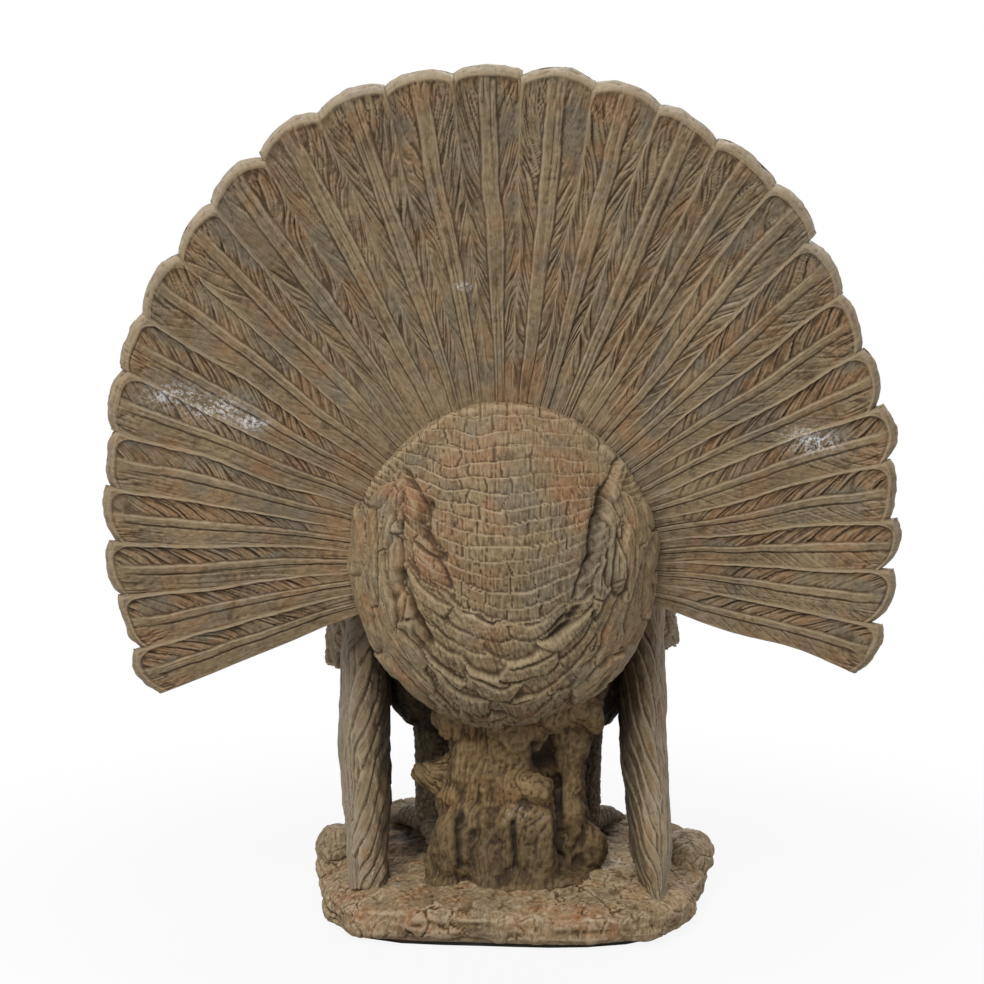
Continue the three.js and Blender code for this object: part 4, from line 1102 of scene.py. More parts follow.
def tail_collar(carving, paint):
    """The hub between body and tail, carved with short strokes"""
    piece = copy_of("tail_hub", "carved_tail_collar", voxel=1.8, rounds=6)
    points = points_of(piece)
    round_way = np.arctan2(points[:, 2] - TAIL_Z, points[:, 0]) * 76.0
    stroke = rough(columns(round_way / 3.2, points[:, 1] / 16.0), carving.seed + 1700, 3)
    carve(piece, np.minimum(0.9 * stroke, 0.8), round_way, points[:, 1])
    return finish(piece, paint, "plumage", ["tail_hub"])


def long_feathers(turn, run, side, girth, length, seed, depth):
    """Flight feathers that slant outwards down a wing and end in tips over its smoother outer edge"""
    wide = 11.0
    q, way = turn * girth, run * length
    slant = q - 0.62 * side * way + 5.0 * grain(columns(q / 19.0, way / 26.0), seed)
    share, number = fract(slant / wide), np.floor(slant / wide)
    tag = scatter(number[:, None].astype(np.int64), seed + 1)
    outer = side * np.cos(2 * np.pi * turn) + 0.14 * grain(columns(q / 5.0, way / 7.0), seed + 4)
    reach = 0.55 * tag
    over = smooth(reach + 0.12, reach - 0.02, outer)
    busy = smooth(-0.35, 0.35, grain(columns(q / 23.0, way / 34.0), seed + 14)) * smooth(0.2, 0.5, run)
    height = depth * over * (0.7 + 0.6 * share - 0.7 * bell(np.minimum(share, 1 - share) * wide, 0.8))
    height += (0.1 + 0.5 * busy) * strokes(slant, way, 4.4, 22.0, seed + 3) * (0.3 + 0.7 * over)
    height += (0.15 + 0.3 * busy) * strokes(slant, way, 1.9, 11.0, seed + 8)
    straight = np.maximum(1 - over, 0.6 * smooth(0.5, 0.2, run))
    height += 0.7 * strokes(q, way, 4.5, 60.0, seed + 6) * straight
    height += 1.1 * rough(columns(q / 17.0, way / 17.0), seed + 10, 2)
    height += 0.3 * rough(columns(q / 4.0, way / 7.0), seed + 15, 2)
    return height, 0.4 * bell(outer - reach, 0.07), slant, way


def flight_feathers(name, side, tip, carving, paint):
    """The long feathers of one drooped wing, down to the base"""
    around, along = 150, 200
    out, back, sink, whole, foot_share = tip
    flank = BODY_HALF_WIDTH - PRIMARY_TUCK
    top, foot = BODY_AXIS_Z - PRIMARY_DROP, BASE_RIM_Z - sink * BASE_RIM_HEIGHT
    stops, sizes = [], []
    for down, outward, backward, thick, broad in PRIMARY_STATIONS:
        x = flank + (out * BASE_HALF_WIDTH - flank) * outward
        stops.append((side * x, -back * BASE_HALF_DEPTH * backward, top + (foot - top) * down))
        sizes.append((PRIMARY_THICKNESS * whole * (thick or foot_share), PRIMARY_BREADTH * broad))
    sizes = np.array(sizes)

    def place(turn, run):
        share, full = capped(run, 0.03)
        centre, ahead, _, _, thick = spine_of(stops, sizes[:, 0], share)
        broad = np.interp(share, np.linspace(0, 1, len(sizes)), sizes[:, 1])
        outward = np.array([1.0, 0, 0])
        breadth = unit(np.cross(outward, ahead))
        c, s = oval(turn, 2 / 2.4)
        return centre + (thick * full * c)[:, None] * outward + (broad * full * s)[:, None] * breadth

    piece, turn, run = skin(f"carved_{name}_flight_feathers", around, along, place)
    seed = carving.seed + (2100 if side < 0 else 2200)
    height, worn, across, way = long_feathers(
        turn, run, side, girth=150.0, length=185.0, seed=seed, depth=1.4
    )
    carve(piece, (height - 0.6) * smooth(0, 0.04, run) * smooth(1, 0.96, run), across, way)
    outward = side * normals_of(piece)[:, 0] + 0.3 * grain(columns(across / 6.0, way / 25.0), seed + 9)
    # Painted shade on the inner faces and on the upper part of the left wing; dust and painted light on the
    # outward faces
    shaded = 0.6 * smooth(-0.1, -0.7, outward) + (0.3 if side < 0 else 0.0) * smooth(0.6, 0.3, run)
    looks = {"pale": worn, "dust": 0.5 * smooth(-0.2, 0.8, outward), "soot": shaded}
    return finish(piece, paint, "plumage", [f"{name}_wing_primaries"], **looks)


def wing_shield(name, side, drop, stand_out, carving, paint):
    """The covert feathers of one wing, lapped over the flight feathers"""
    around, along, wide = 170, 170, 17.0
    levels = np.array(COVERT_LEVELS)

    def place(turn, run):
        share, full = capped(run, 0.03)
        inward, rear, front = (np.interp(share, levels[:, 0], levels[:, k]) for k in (1, 2, 3))
        soft = smooth(0, 1, (share - 0.45) / 0.55)
        rear_y, front_y = COVERT_REAR_Y + rear * COVERT_DEPTH, COVERT_FRONT_Y - front * COVERT_DEPTH
        x = side * (BODY_HALF_WIDTH * (1 + stand_out) - (1 + inward) * COVERT_THICKNESS)
        z = BODY_AXIS_Z - drop * BODY_HALF_HEIGHT + share * (drop * BODY_HALF_HEIGHT + COVERT_RISE)
        c, s = oval(turn, 2 / (2.6 - 0.3 * soft))
        y = (rear_y + front_y) / 2 + full * (front_y - rear_y) / 2 * s
        return columns(x + COVERT_THICKNESS * full * c, y, z)

    piece, _, run = skin(f"carved_{name}_wing_shield", around, along, place)
    points = points_of(piece)
    seed = carving.seed + (2300 if side < 0 else 2400)
    down = 0.86 * (BODY_AXIS_Z + COVERT_RISE - points[:, 2]) + 0.5 * (COVERT_FRONT_Y - points[:, 1])
    across = (0.86 * points[:, 1] - 0.5 * points[:, 2]) / wide
    height, worn, lean, away = lapped_feathers(down, across, length=21.0, depth=2.6, seed=seed)
    split = strokes(across * wide + 0.2 * down, down, 3.4, 30.0, seed + 5)
    carve(piece, (height - 1.2 + 1.2 * split) * smooth(0, 0.03, run), lean, away)
    # Dust and painted light on the outward faces
    dust = 0.4 * smooth(-0.2, 0.7, side * normals_of(piece)[:, 0])
    return finish(piece, paint, "plumage", [f"{name}_wing_coverts"], pale=0.7 * worn, dust=dust)


def thigh(name, carving, paint):
    """A feathered thigh"""
    node = f"{name}_thigh"
    piece = copy_of(node, f"carved_{node}", voxel=1.1, rounds=10)
    low, high = (MM_PER_M * np.array(corner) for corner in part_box(node))
    points = points_of(piece)
    middle = (low + high) / 2
    turn = np.arctan2(points[:, 1] - middle[1], points[:, 0] - middle[0]) / (2 * np.pi)
    down, seed = high[2] - points[:, 2], carving.seed + 2500
    height, worn, lean, away = lapped_feathers(down, turn * 11, length=11.0, depth=1.6, seed=seed)
    carve(piece, height - 0.8, lean, away)
    # Painted shade over the thigh, strongest on faces turned to the rear
    sheltered = 0.75 * smooth(-0.3, 0.3, -normals_of(piece)[:, 1]) + 0.2
    return finish(piece, paint, "plumage", [node], pale=0.5 * worn, soot=sheltered)


# Toes: direction in degrees from straight ahead, and length
TOES = ((-32, 46.0), (0, 46.0), (32, 46.0), (180, 23.0))


def leg(name, side, carving, paint):
    """A scaled shank with its toes and claws"""
    x, y, top, ground = 2.0 + side * 0.505 * BODY_HALF_WIDTH, 16.0, UNDERSIDE_Z + 7.0, BASE_RIM_Z + 7.5
    ankle = (x, y, ground + 6.0)
    limbs = [(((x, y, top), (x, y, (top + ground) / 2), ankle), (12.0, 10.0, 10.0))]
    for turn, length in TOES:
        dx, dy = length * math.sin(math.radians(turn)), length * math.cos(math.radians(turn))
        knuckle = (x + 0.55 * dx, y + 0.55 * dy, ground + 5.4)
        limbs.append(((ankle, knuckle, (x + dx, y + dy, ground - 1.8)), (8.0, 6.0, 2.1)))
    parts = [limb(f"{name}_leg_{k}", *one, around=28, along=36)[0] for k, one in enumerate(limbs)]
    piece = fuse(f"carved_{name}_leg", parts, voxel=1.0, rounds=6)
    points = points_of(piece)
    number, along, across = limb_places(points, limbs)
    seed = carving.seed + 2600 + side
    front = np.where(number == 0, smooth(-2, 3, points[:, 1] - y), smooth(-1, 2, points[:, 2] - ground - 4))
    band = fract(along / 5.2 + 0.25 * grain(columns(along / 9.0, across / 6.0), seed))
    near, after, _ = pebbles(columns(along / 3.4, across / 3.4, number), seed + 1)
    plate = front * (band - 0.5 - 0.9 * bell(np.minimum(band, 1 - band), 0.1))
    small = (1 - front) * (0.5 - 0.9 * bell(after - near, 0.16))
    carve(piece, plate + small + 0.35 * rough(points / 3.0, seed + 2, 2), across, along)
    # Painted shade over the leg, strongest on faces turned to the rear
    sheltered = 0.5 * smooth(-0.3, 0.3, -normals_of(piece)[:, 1]) + 0.1
    return finish(piece, paint, "horn", [f"{name}_leg"], soot=sheltered)


SIDES, FACE_SEED = (-1, 1), 2800
# Rings of an eye: rise, distance from its middle and width
EYELIDS = ((1.3, 4.9, 0.9), (0.9, 6.8, 0.7), (-1.1, 3.7, 0.6), (1.1, 0.0, 2.6))


def hanging(points, size, front, axis):
    """Stops and radii of a limb that hangs in front of the face or breast"""
    stops = [(size * aside, front + size * ahead, axis + size * up) for ahead, up, aside, _ in points]
    return stops, [size * radius for *_, radius in points]


def nearest(points, places):
    """Distance from each point to the nearest of some places"""
    return np.min([np.linalg.norm(points - place, axis=1) for place in places], axis=0)


def neck(carving, paint):
    """The neck, feathered below and bare above"""
    seed = carving.seed + FACE_SEED
    stops = [(0, BODY_FRONT_Y - HEAD_UP * back, BODY_AXIS_Z + HEAD_UP * up) for back, up, _ in NECK]
    radii = [HEAD_UP * radius for *_, radius in NECK]
    piece, turn, run = limb("carved_neck", stops, radii, around=130, along=112)
    points = points_of(piece)
    bare = smooth(286.0, 308.0, points[:, 2] + 6 * rough(points / 12.0, seed, 2))
    near, after, tag = pebbles(points / (6.5 + 2.0 * bare[:, None]), seed + 1)
    lumps = 3.0 * np.sqrt(np.maximum(0.62 - near, 0)) * (0.6 + 0.5 * tag) - 0.8 * bell(after - near, 0.12)
    down = 330.0 - points[:, 2]
    height, worn, lean, away = lapped_feathers(down, turn * 17, length=9.0, depth=1.5, seed=seed + 2)
    carve(piece, np.where(bare > 0.5, lumps, height) * smooth(0, 0.05, run), lean, away)
    return finish(piece, paint, "plumage", ["neck"], pale=np.where(bare > 0.5, 0, 0.5 * worn))


def head(carving, paint):
    """The bare head with its lidded eyes and its ears"""
    eyes = [np.array((side * 14.6, HEAD_Y + 7.5, HEAD_Z + 4.5)) for side in SIDES]
    bumps = [((0, HEAD_Y, HEAD_Z), HEAD_HALF), ((0, HEAD_Y + 14, HEAD_Z - 3), (12.5, 14, 12.5))]
    bumps += [((*eye[:2], eye[2] + 2.2), (4.5, 8.5, 4.2)) for eye in eyes]
    parts = [blob(f"head_{k}", *bump)[0] for k, bump in enumerate(bumps)]
    piece = fuse("carved_head", parts, voxel=0.75, rounds=10)
    points = points_of(piece)
    gap = nearest(points, [eye + (side * 0.6, 0, 0) for side, eye in zip(SIDES, eyes)])
    ear = nearest(points, [(side * 15.5, HEAD_Y - 8, HEAD_Z - 1) for side in SIDES])
    near, after, tag = pebbles(points / 4.6, carving.seed + FACE_SEED + 4)
    lumps = 1.7 * np.sqrt(np.maximum(0.6 - near, 0)) * (0.5 + 0.6 * tag) - 0.45 * bell(after - near, 0.12)
    height = lumps * smooth(5.0, 7.5, gap) - 1.6 * bell(ear, 2.2) + 0.9 * bell(ear - 3.4, 0.9)
    for rise, away, width in EYELIDS:
        height += rise * bell(gap - away, width)
    carve(piece, height, points[:, 0], points[:, 2])
    return finish(piece, paint, "bare_skin", ["head"], pale=bell(gap - 4.9, 1.2))


def beak(carving, paint):
    """The hooked beak with its mouth and nostrils"""
    stops, radii = one = hanging(BEAK, HEAD_HALF[1], FACE_Y, HEAD_Z)
    piece, _, run = limb("carved_beak", *one, around=80, along=90)
    points = points_of(piece)
    _, along, across = limb_places(points, [one])
    radius = np.interp(run, (0, 0.5, 1), radii)
    mouth = np.abs(points[:, 2] - np.interp(run, (0.08, 0.5, 0.92), [stop[2] - 1.6 for stop in stops]))
    nostril = nearest(points, [(side * 5.4, FACE_Y + 6.5, HEAD_Z - 1.5) for side in SIDES])
    height = -1.1 * bell(mouth, 0.55) * (np.abs(points[:, 0]) > 0.35 * radius) * smooth(0.86, 0.76, run)
    height += 0.35 * rough(columns(across / 2.0, along / 14.0), carving.seed + FACE_SEED + 6, 2)
    carve(piece, height - 1.5 * bell(nostril, 1.3), across, along)
    return finish(piece, paint, "horn", ["beak"])


def hanging_skin(name, table, wrinkle, lump, seed, paint):
    """A wrinkled fold of skin that hangs from the face"""
    one = hanging(table, HEAD_HALF[1], FACE_Y, HEAD_Z)
    piece, _, run = limb(f"carved_{name}", *one, around=72, along=110)
    points = points_of(piece)
    _, along, across = limb_places(points, [one])
    band = fract(along / wrinkle + 0.5 * grain(columns(across / 7.0, along / 9.0), seed))
    near, _, _ = pebbles(points / 5.0, seed)
    height = 0.45 - bell(np.minimum(band, 1 - band), 0.16) + lump * np.sqrt(np.maximum(0.6 - near, 0))
    carve(piece, height * smooth(0, 0.06, run), across, along)
    return finish(piece, paint, "bare_skin", [name])


def beard(carving, paint):
    """The beard of coarse strands on the breast"""
    seed = carving.seed + FACE_SEED
    one = hanging(BEARD, BEARD_LENGTH, BODY_FRONT_Y, BODY_AXIS_Z)
    piece, turn, run = limb("carved_beard", *one, around=84, along=120)
    strand = turn * 17 + 1.1 * grain(columns(run * 5.0, turn * 9.0), seed + 9)
    height = 0.8 * np.sin(np.pi * fract(strand)) - 0.6
    height += 0.5 * grain(columns(np.floor(strand), run * 3.0), seed + 10)
    carve(piece, height * smooth(1.0, 0.9, run), turn * 40.0, run * BEARD_LENGTH)
    return finish(piece, paint, "plumage", ["beard"])


def blob(name, centre, half):
    """A rounded lump with its own half-size along each axis"""

    def place(turn, run):
        angle, lean = 2 * np.pi * turn, np.pi * run
        sphere = columns(np.sin(lean) * np.cos(angle), np.sin(lean) * np.sin(angle), np.cos(lean))
        return np.array(centre) + sphere * np.array(half)

    return skin(name, around=40, along=28, place=place)


def stump_limbs():
    """Stops and radii of the trunk, side trunk, roots and branch"""
    size, rise = STUMP_FOOT_RADIUS, UNDERSIDE_Z - BASE_RIM_Z
    limbs = []
    for path, radii in STUMP.values():
        stops = [(size * x, FAN_FACE_Y + size * ahead, BASE_RIM_Z + up * rise) for x, ahead, up in path]
        limbs.append((stops, [size * radius for radius in radii]))
    return limbs


# Knots and lumps of the stump: place and half-size
STUMP_LUMPS = (
    ((8.0, -58.0, 103.0), (14.0, 9.0, 14.0)),
    ((-17.0, -60.0, 58.0), (13.0, 11.0, 11.0)),
    ((-30.0, -60.0, 45.0), (9.0, 14.0, 12.0)),
    ((-8.0, -60.0, 40.0), (17.0, 14.0, 24.0)),
    ((19.0, -60.0, 50.0), (11.0, 13.0, 24.0)),
    ((15.0, -68.0, 77.0), (10.0, 9.0, 8.0)),
    ((44.0, -44.0, 113.0), (10.0, 10.0, 12.0)),
    ((30.0, -46.0, 114.0), (18.0, 12.0, 11.0)),
    ((-14.0, -56.0, 84.0), (14.0, 10.0, 22.0)),
    ((-22.0, -50.0, 66.0), (15.0, 12.0, 24.0)),
    ((30.0, -40.0, 66.0), (12.0, 9.0, 34.0)),
    ((46.0, -50.0, 40.0), (9.0, 10.0, 14.0)),
    ((-26.0, -48.0, 112.0), (14.0, 12.0, 13.0)),
    ((-27.0, -64.0, 42.0), (12.0, 12.0, 22.0)),
    ((6.0, -64.0, 48.0), (14.0, 13.0, 28.0)),
    ((6.0, -62.0, 74.0), (14.0, 10.0, 13.0)),
    ((33.0, -46.0, 92.0), (12.0, 9.0, 24.0)),
    ((33.0, -52.0, 50.0), (11.0, 10.0, 28.0)),
    ((35.0, -46.0, 72.0), (9.5, 9.0, 30.0)),
    ((39.0, -48.0, 42.0), (10.0, 10.0, 20.0)),
    ((7.0, -50.0, 117.0), (38.0, 15.0, 14.0)),
    ((-31.0, -66.0, 25.0), (14.0, 12.0, 7.0)),
    ((4.0, -71.0, 25.0), (16.0, 12.0, 7.0)),
    ((32.0, -62.0, 25.0), (16.0, 14.0, 7.0)),
)
# How much thicker the broken branch is before the stump's skin is softened
STUB_SWELL = (1.1, 1.25, 2.2)
# The swirled knot under the rump, and the ledge that catches the light, where a highlight is painted
STUMP_KNOT, STUMP_LEDGE = (6.0, -68.0, 104.0), (15.0, -72.0, 82.0)
# Splits and hollows of the stump: place across and up at the top and at the foot, width and depth
STUMP_SPLITS = (
    ((-24.0, 62.0), (-23.0, 36.0), 2.6, 3.5), ((4.0, 60.0), (6.0, 36.0), 2.4, 3.5),
    ((19.0, 97.0), (21.0, 88.0), 5.0, 6.0), ((27.0, 78.0), (29.0, 38.0), 2.8, 4.0),
)


def stump(carving, paint):
    """The gnarled stump under the rump: trunk, side trunk, roots, broken branch and knots in one"""
    limbs = stump_limbs()
    parts = [limb(f"stump_{k}", *one)[0] for k, one in enumerate(limbs)]
    stops, radii = limbs[-1]
    parts.append(limb("stub", stops, [radius * swell for radius, swell in zip(radii, STUB_SWELL)])[0])
    parts += [blob(f"knot_{k}", *lump)[0] for k, lump in enumerate(STUMP_LUMPS)]
    piece = fuse("carved_stump", parts, voxel=0.9, rounds=26)
    points, normal = points_of(piece), normals_of(piece)
    number, along, across = limb_places(points, limbs)
    seed = carving.seed + 3100
    warp = 5.0 * rough(points / 22.0, seed, 2)
    upright = number != len(limbs) - 1
    way = np.where(upright, points[:, 2], along)
    turn = np.where(upright, points[:, 0] - 0.6 * points[:, 1], across)
    grooves = strokes(turn + warp, way, 5.5, 24.0, seed + 1)
    scores = strokes(turn + warp, way, 2.2, 9.0, seed + 5)
    knot = np.linalg.norm((points - STUMP_KNOT) * (1.0, 1.0, 0.85), axis=1)
    knot += 1.6 * rough(points / 7.0, seed + 8, 2)
    swirl = smooth(17, 9, knot)
    patchy = smooth(-0.4, 0.4, rough(points / 16.0, seed + 9, 2))
    height = (1 - swirl) * (mm(carving.bark_depth) * grooves * (0.35 + 0.65 * patchy) + 0.6 * scores)
    height += 0.25 * swirl * np.sin(2 * np.pi * knot / 5.5)
    height += 2.0 * rough(points / 12.0, seed + 3, 3) + 0.5 * rough(points / 2.6, seed + 4, 3)
    gap = np.zeros(len(points))
    for (x0, z0), (x1, z1), width, depth in STUMP_SPLITS:
        share = np.clip((points[:, 2] - z0) / (z1 - z0), 0, 1)
        aside = points[:, 0] - x0 - share * (x1 - x0) + 0.15 * warp
        off = np.hypot(aside, points[:, 2] - z0 - share * (z1 - z0))
        height -= depth * bell(off, width) * smooth(0.1, 0.6, -normal[:, 1])
        gap = np.maximum(gap, bell(off, 1.5 * width) * smooth(-0.2, 0.4, -normal[:, 1]))
    carve(piece, height, turn, way)
    ledge = np.linalg.norm((points - STUMP_LEDGE) * (1.0, 1.0, 1.6), axis=1)
    # Painted highlight on the ledge's upward faces
    light = 0.6 * smooth(12, 7, ledge) * smooth(0.2, 0.7, normal[:, 2])
    # Painted shade: darker in the splits, further in under the rump, on faces turned sideways and towards the
    # bottom
    dark = np.maximum(0.85 * gap, 0.7 * smooth(-52.0, -38.0, points[:, 1] + 3.0 * patchy))
    dark = np.maximum(dark, 0.45 * smooth(0.5, 0.9, np.abs(normal[:, 0])))
    dark = np.maximum(dark, 0.5 * smooth(84, 44, points[:, 2] + 6.0 * patchy))
    return finish(piece, paint, "bark", list(STUMP), pale=light, soot=dark)


def base_outline(turn, inset):
    """From the base's middle to its uneven edge, in a direction"""
    c = np.abs(np.cos(turn)) / (BASE_HALF_WIDTH - inset)
    s = np.abs(np.sin(turn)) / (BASE_HALF_DEPTH - inset)
    lobes = sum(share * np.cos(count * turn + shift) for count, share, shift in BASE_LOBES)
    return (c**BASE_SQUARENESS + s**BASE_SQUARENESS) ** (-1 / BASE_SQUARENESS) + BASE_HALF_WIDTH * lobes


def ground(carving, paint):
    """The uneven oval base of cracked earth"""
    half_bevel = BASE_BEVEL / 2
    profile = np.array([
        (0.0, FELT_THICKNESS, 0.0, half_bevel), (0.16, FELT_THICKNESS, 1.0, half_bevel),
        (0.2, FELT_THICKNESS + half_bevel, 1.0, 0.0), (0.34, BASE_RIM_Z - half_bevel, 1.0, 0.0),
        (0.42, BASE_RIM_Z, 1.0, BASE_BEVEL), (0.62, BASE_RIM_Z + 0.5 * BASE_MOUND, 0.72, 0.0),
        (0.85, BASE_RIM_Z + 0.9 * BASE_MOUND, 0.4, 0.0), (1.0, BASE_RIM_Z + BASE_MOUND, 0.0, 0.0),
    ])

    def place(turn, run):
        z, share, inset = (np.interp(run, profile[:, 0], profile[:, k]) for k in (1, 2, 3))
        angle = 2 * np.pi * turn
        reach = share * base_outline(angle, inset)
        return columns(BASE_CENTRE_X + reach * np.cos(angle), BASE_CENTRE_Y + reach * np.sin(angle), z)

    piece, _, _ = skin("base", around=160, along=90, place=place)
    piece = fuse("carved_base", [piece], voxel=1.05, rounds=30)
    points = points_of(piece)
    seed = carving.seed + 3300
    size = mm(carving.crack_size)
    bent = points + 2.4 * columns(*(rough(points / 9.0, seed + k, 2) for k in range(3)))
    near, after, tag = pebbles(bent / size, seed + 4)
    crack = bell(after - near, 0.045) * smooth(-0.1, 0.3, rough(points / 14.0, seed + 9, 2))
    close, beyond, chip = pebbles(bent / (0.5 * size), seed + 5)
    broken = smooth(0.1, 0.5, rough(points / 10.0, seed + 10, 2))
    height = 0.5 * (tag - 0.5) * smooth(0.0, 0.12, after - near) - 1.3 * crack
    height -= broken * 0.7 * bell(beyond - close, 0.05) * (chip > 0.35)
    height += 2.3 * rough(points / 19.0, seed + 6, 3) + 0.32 * rough(points / 2.6, seed + 7, 3)
    side = smooth(0.75, 0.35, np.abs(normals_of(piece)[:, 2]))
    height += side * 0.8 * rough(points / (15.0, 15.0, 3.2), seed + 8, 2)
    height *= smooth(FELT_THICKNESS + 0.1, FELT_THICKNESS + 2.0, points[:, 2])
    carve(piece, height, points[:, 0], points[:, 1])
    # Painted shadow on the ground under the figure
    under = np.hypot(points[:, 0] / 76.0, (points[:, 1] - 26.0) / 84.0)
    under += 0.08 * rough(points / 12.0, seed + 11, 2)
    return finish(piece, paint, "earth", ["base_slab"], soot=1.1 * smooth(1.0, 0.7, under))


def rock(name, carving, paint):
    """A weathered rock at the edge of the base"""
    low, high = (MM_PER_M * np.array(corner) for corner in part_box(name))
    centre, half = (low + high) / 2, (high - low) / 2
    piece, _, _ = blob(name, centre - (0, 0, 0.1 * half[2]), half * (1, 1, 1.1))
    piece = fuse(f"carved_{name}", [piece], voxel=0.9, rounds=4)
    points = points_of(piece)
    seed = carving.seed + 3500 + len(name)
    near, after, tag = pebbles(points / 13.0 + 0.3 * rough(points[:, ::-1] / 9.0, seed, 2)[:, None], seed + 1)
    height = 1.4 * (tag - 0.5) - 0.9 * bell(after - near, 0.06) - 0.6
    height += 1.3 * rough(points / 9.0, seed + 2, 3) + 0.3 * rough(points / 2.2, seed + 3, 2)
    carve(piece, height, points[:, 0], points[:, 2])
    return finish(piece, paint, "rock", [name])


def settings(context):
    return context.scene.turkey_carving, context.scene.turkey_paint


class TURKEY_OT_tail(bpy.types.Operator):
    """Carves the feathers of the tail"""

    bl_idname = "turkey.tail"
    bl_label = "Tail Feathers"

    def execute(self, context):
        carving, colours = settings(context)
        paint = resin_paint(
            "tail_plumage", colours, 0.97, rust=0.62, slate=0.65, wash=0.85, stroke=(11.0, 1.6)
        )
        for index in range(FEATHER_COUNT):
            tail_feather(index, carving, paint)
        return {"FINISHED"}


class TURKEY_OT_rump(bpy.types.Operator):
    """Carves the rump over the roots of the tail"""

    bl_idname = "turkey.rump"
    bl_label = "Rump"

    def execute(self, context):
        carving, colours = settings(context)
        paint = resin_paint(
            "rump_plumage", colours, (1.04, 1.03, 0.98), rust=0.8, slate=0.6, wash=0.85, stroke=(13.0, 2.0)
        )
        rump(carving, paint)
        return {"FINISHED"}


class TURKEY_OT_body(bpy.types.Operator):
    """Carves the breast and the collar behind it"""

    bl_idname = "turkey.body"
    bl_label = "Body"

    def execute(self, context):
        carving, colours = settings(context)
        paint = resin_paint("breast_plumage", colours, 0.95, stroke=(11.0, 1.8))
        breast(carving, paint)
        tail_collar(carving, paint)
        return {"FINISHED"}


class TURKEY_OT_wings(bpy.types.Operator):
    """Carves the two drooped wings"""

    bl_idname = "turkey.wings"
    bl_label = "Wings"

    def execute(self, context):
        carving, colours = settings(context)
        paint = resin_paint(
            "wing_plumage", colours, (0.92, 0.91, 0.87), rust=0.7, slate=0.4, worn=0.6, wash=0.52,
            stroke=(9.0, 0.7),
        )
        for name, side, tip, drop, stand_out in WINGS:
            flight_feathers(name, side, tip, carving, paint)
            wing_shield(name, side, drop, stand_out, carving, paint)
        return {"FINISHED"}


class TURKEY_OT_legs(bpy.types.Operator):
    """Carves the thighs, shanks and feet"""

    bl_idname = "turkey.legs"
    bl_label = "Legs"

    def execute(self, context):
        carving, colours = settings(context)
        feathers = resin_paint("thigh_plumage", colours, 0.9, stroke=(11.0, 1.8))
        scales = resin_paint("leg_scales", colours, 0.85, rust=0.4, stroke=(9.0, 3.0))
        for name, side, *_ in WINGS:
            thigh(name, carving, feathers)
            leg(name, side, carving, scales)
        return {"FINISHED"}


class TURKEY_OT_head(bpy.types.Operator):
    """Carves the neck, the head and what hangs from them"""

    bl_idname = "turkey.head"
    bl_label = "Neck and Head"

    def execute(self, context):
        carving, colours = settings(context)
        feathers = resin_paint("neck_plumage", colours, 0.97, rust=0.6, stroke=(10.0, 2.0))
        bare = resin_paint("bare_skin", colours, 1.02, rust=0.85, slate=0.3, stroke=(6.0, 4.0))
        horn = resin_paint("beak_horn", colours, 0.95, rust=0.3, slate=0.5, stroke=(8.0, 0.8))
        neck(carving, feathers)
        head(carving, bare)
        beak(carving, horn)
        hanging_skin("snood", SNOOD, 3.2, 0.5, carving.seed + FACE_SEED + 7, bare)
        hanging_skin("wattle", WATTLE, 5.5, 1.5, carving.seed + FACE_SEED + 8, bare)
        beard(carving, feathers)
        return {"FINISHED"}


class TURKEY_OT_stump(bpy.types.Operator):
    """Carves the stump with its roots and broken branch"""

    bl_idname = "turkey.stump"
    bl_label = "Stump"

    def execute(self, context):
        carving, colours = settings(context)
        # The bark is painted darker and warmer, partly as painted shade and warm bounce light under the body
        paint = resin_paint(
            "bark", colours, (0.76, 0.67, 0.5), rust=0.7, slate=0.15, wash=0.95, worn=0.6, stroke=(5.0, 1.4)
        )
        stump(carving, paint)
        return {"FINISHED"}


class TURKEY_OT_base(bpy.types.Operator):
    """Carves the base and its rocks, and paints the felt and the hidden pins"""

    bl_idname = "turkey.base"
    bl_label = "Base"

    def execute(self, context):
        carving, colours = settings(context)
        earth = resin_paint(
            "earth", colours, (1.27, 1.27, 1.3), rust=1.0, slate=0.35, wash=0.9, worn=0.7, pits=0.4, shine=0.1
        )
        ground(carving, earth)
        stone = resin_paint("stone", colours, 1.05, rust=0.35, slate=0.75, wash=0.85, worn=0.7, pits=0.45)
        for name in ("rock_left", "rock_right", "rock_front"):
            rock(name, carving, stone)
        plain = {"felt_pad": felt_paint(colours)}
        steel = steel_paint(colours)
        for name in ("tail_pin", "left_wing_peg", "right_wing_peg", "left_leg_rod", "right_leg_rod"):
            plain[name] = steel
        for name, paint in plain.items():
            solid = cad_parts[name]
            solid.data.materials.clear()
            solid.data.materials.append(paint)
        return {"FINISHED"}


# Lamps: name, place, size and the setting of their power. They point at the middle of the figure.
LAMPS = (
    ("key", (-0.5, -1.5, 1.75), 1.3, "key_power"), ("fill_left", (-1.7, -0.5, 0.7), 1.0, "fill_power"),
    ("fill_right", (1.7, -0.5, 0.7), 1.0, "fill_power"), ("front", (0.4, 1.7, 1.5), 1.2, "front_power"),
)
LAMP_AIM = (0, 0, 0.22)
SENSOR_WIDTH, LENS = 36.0, 128.05


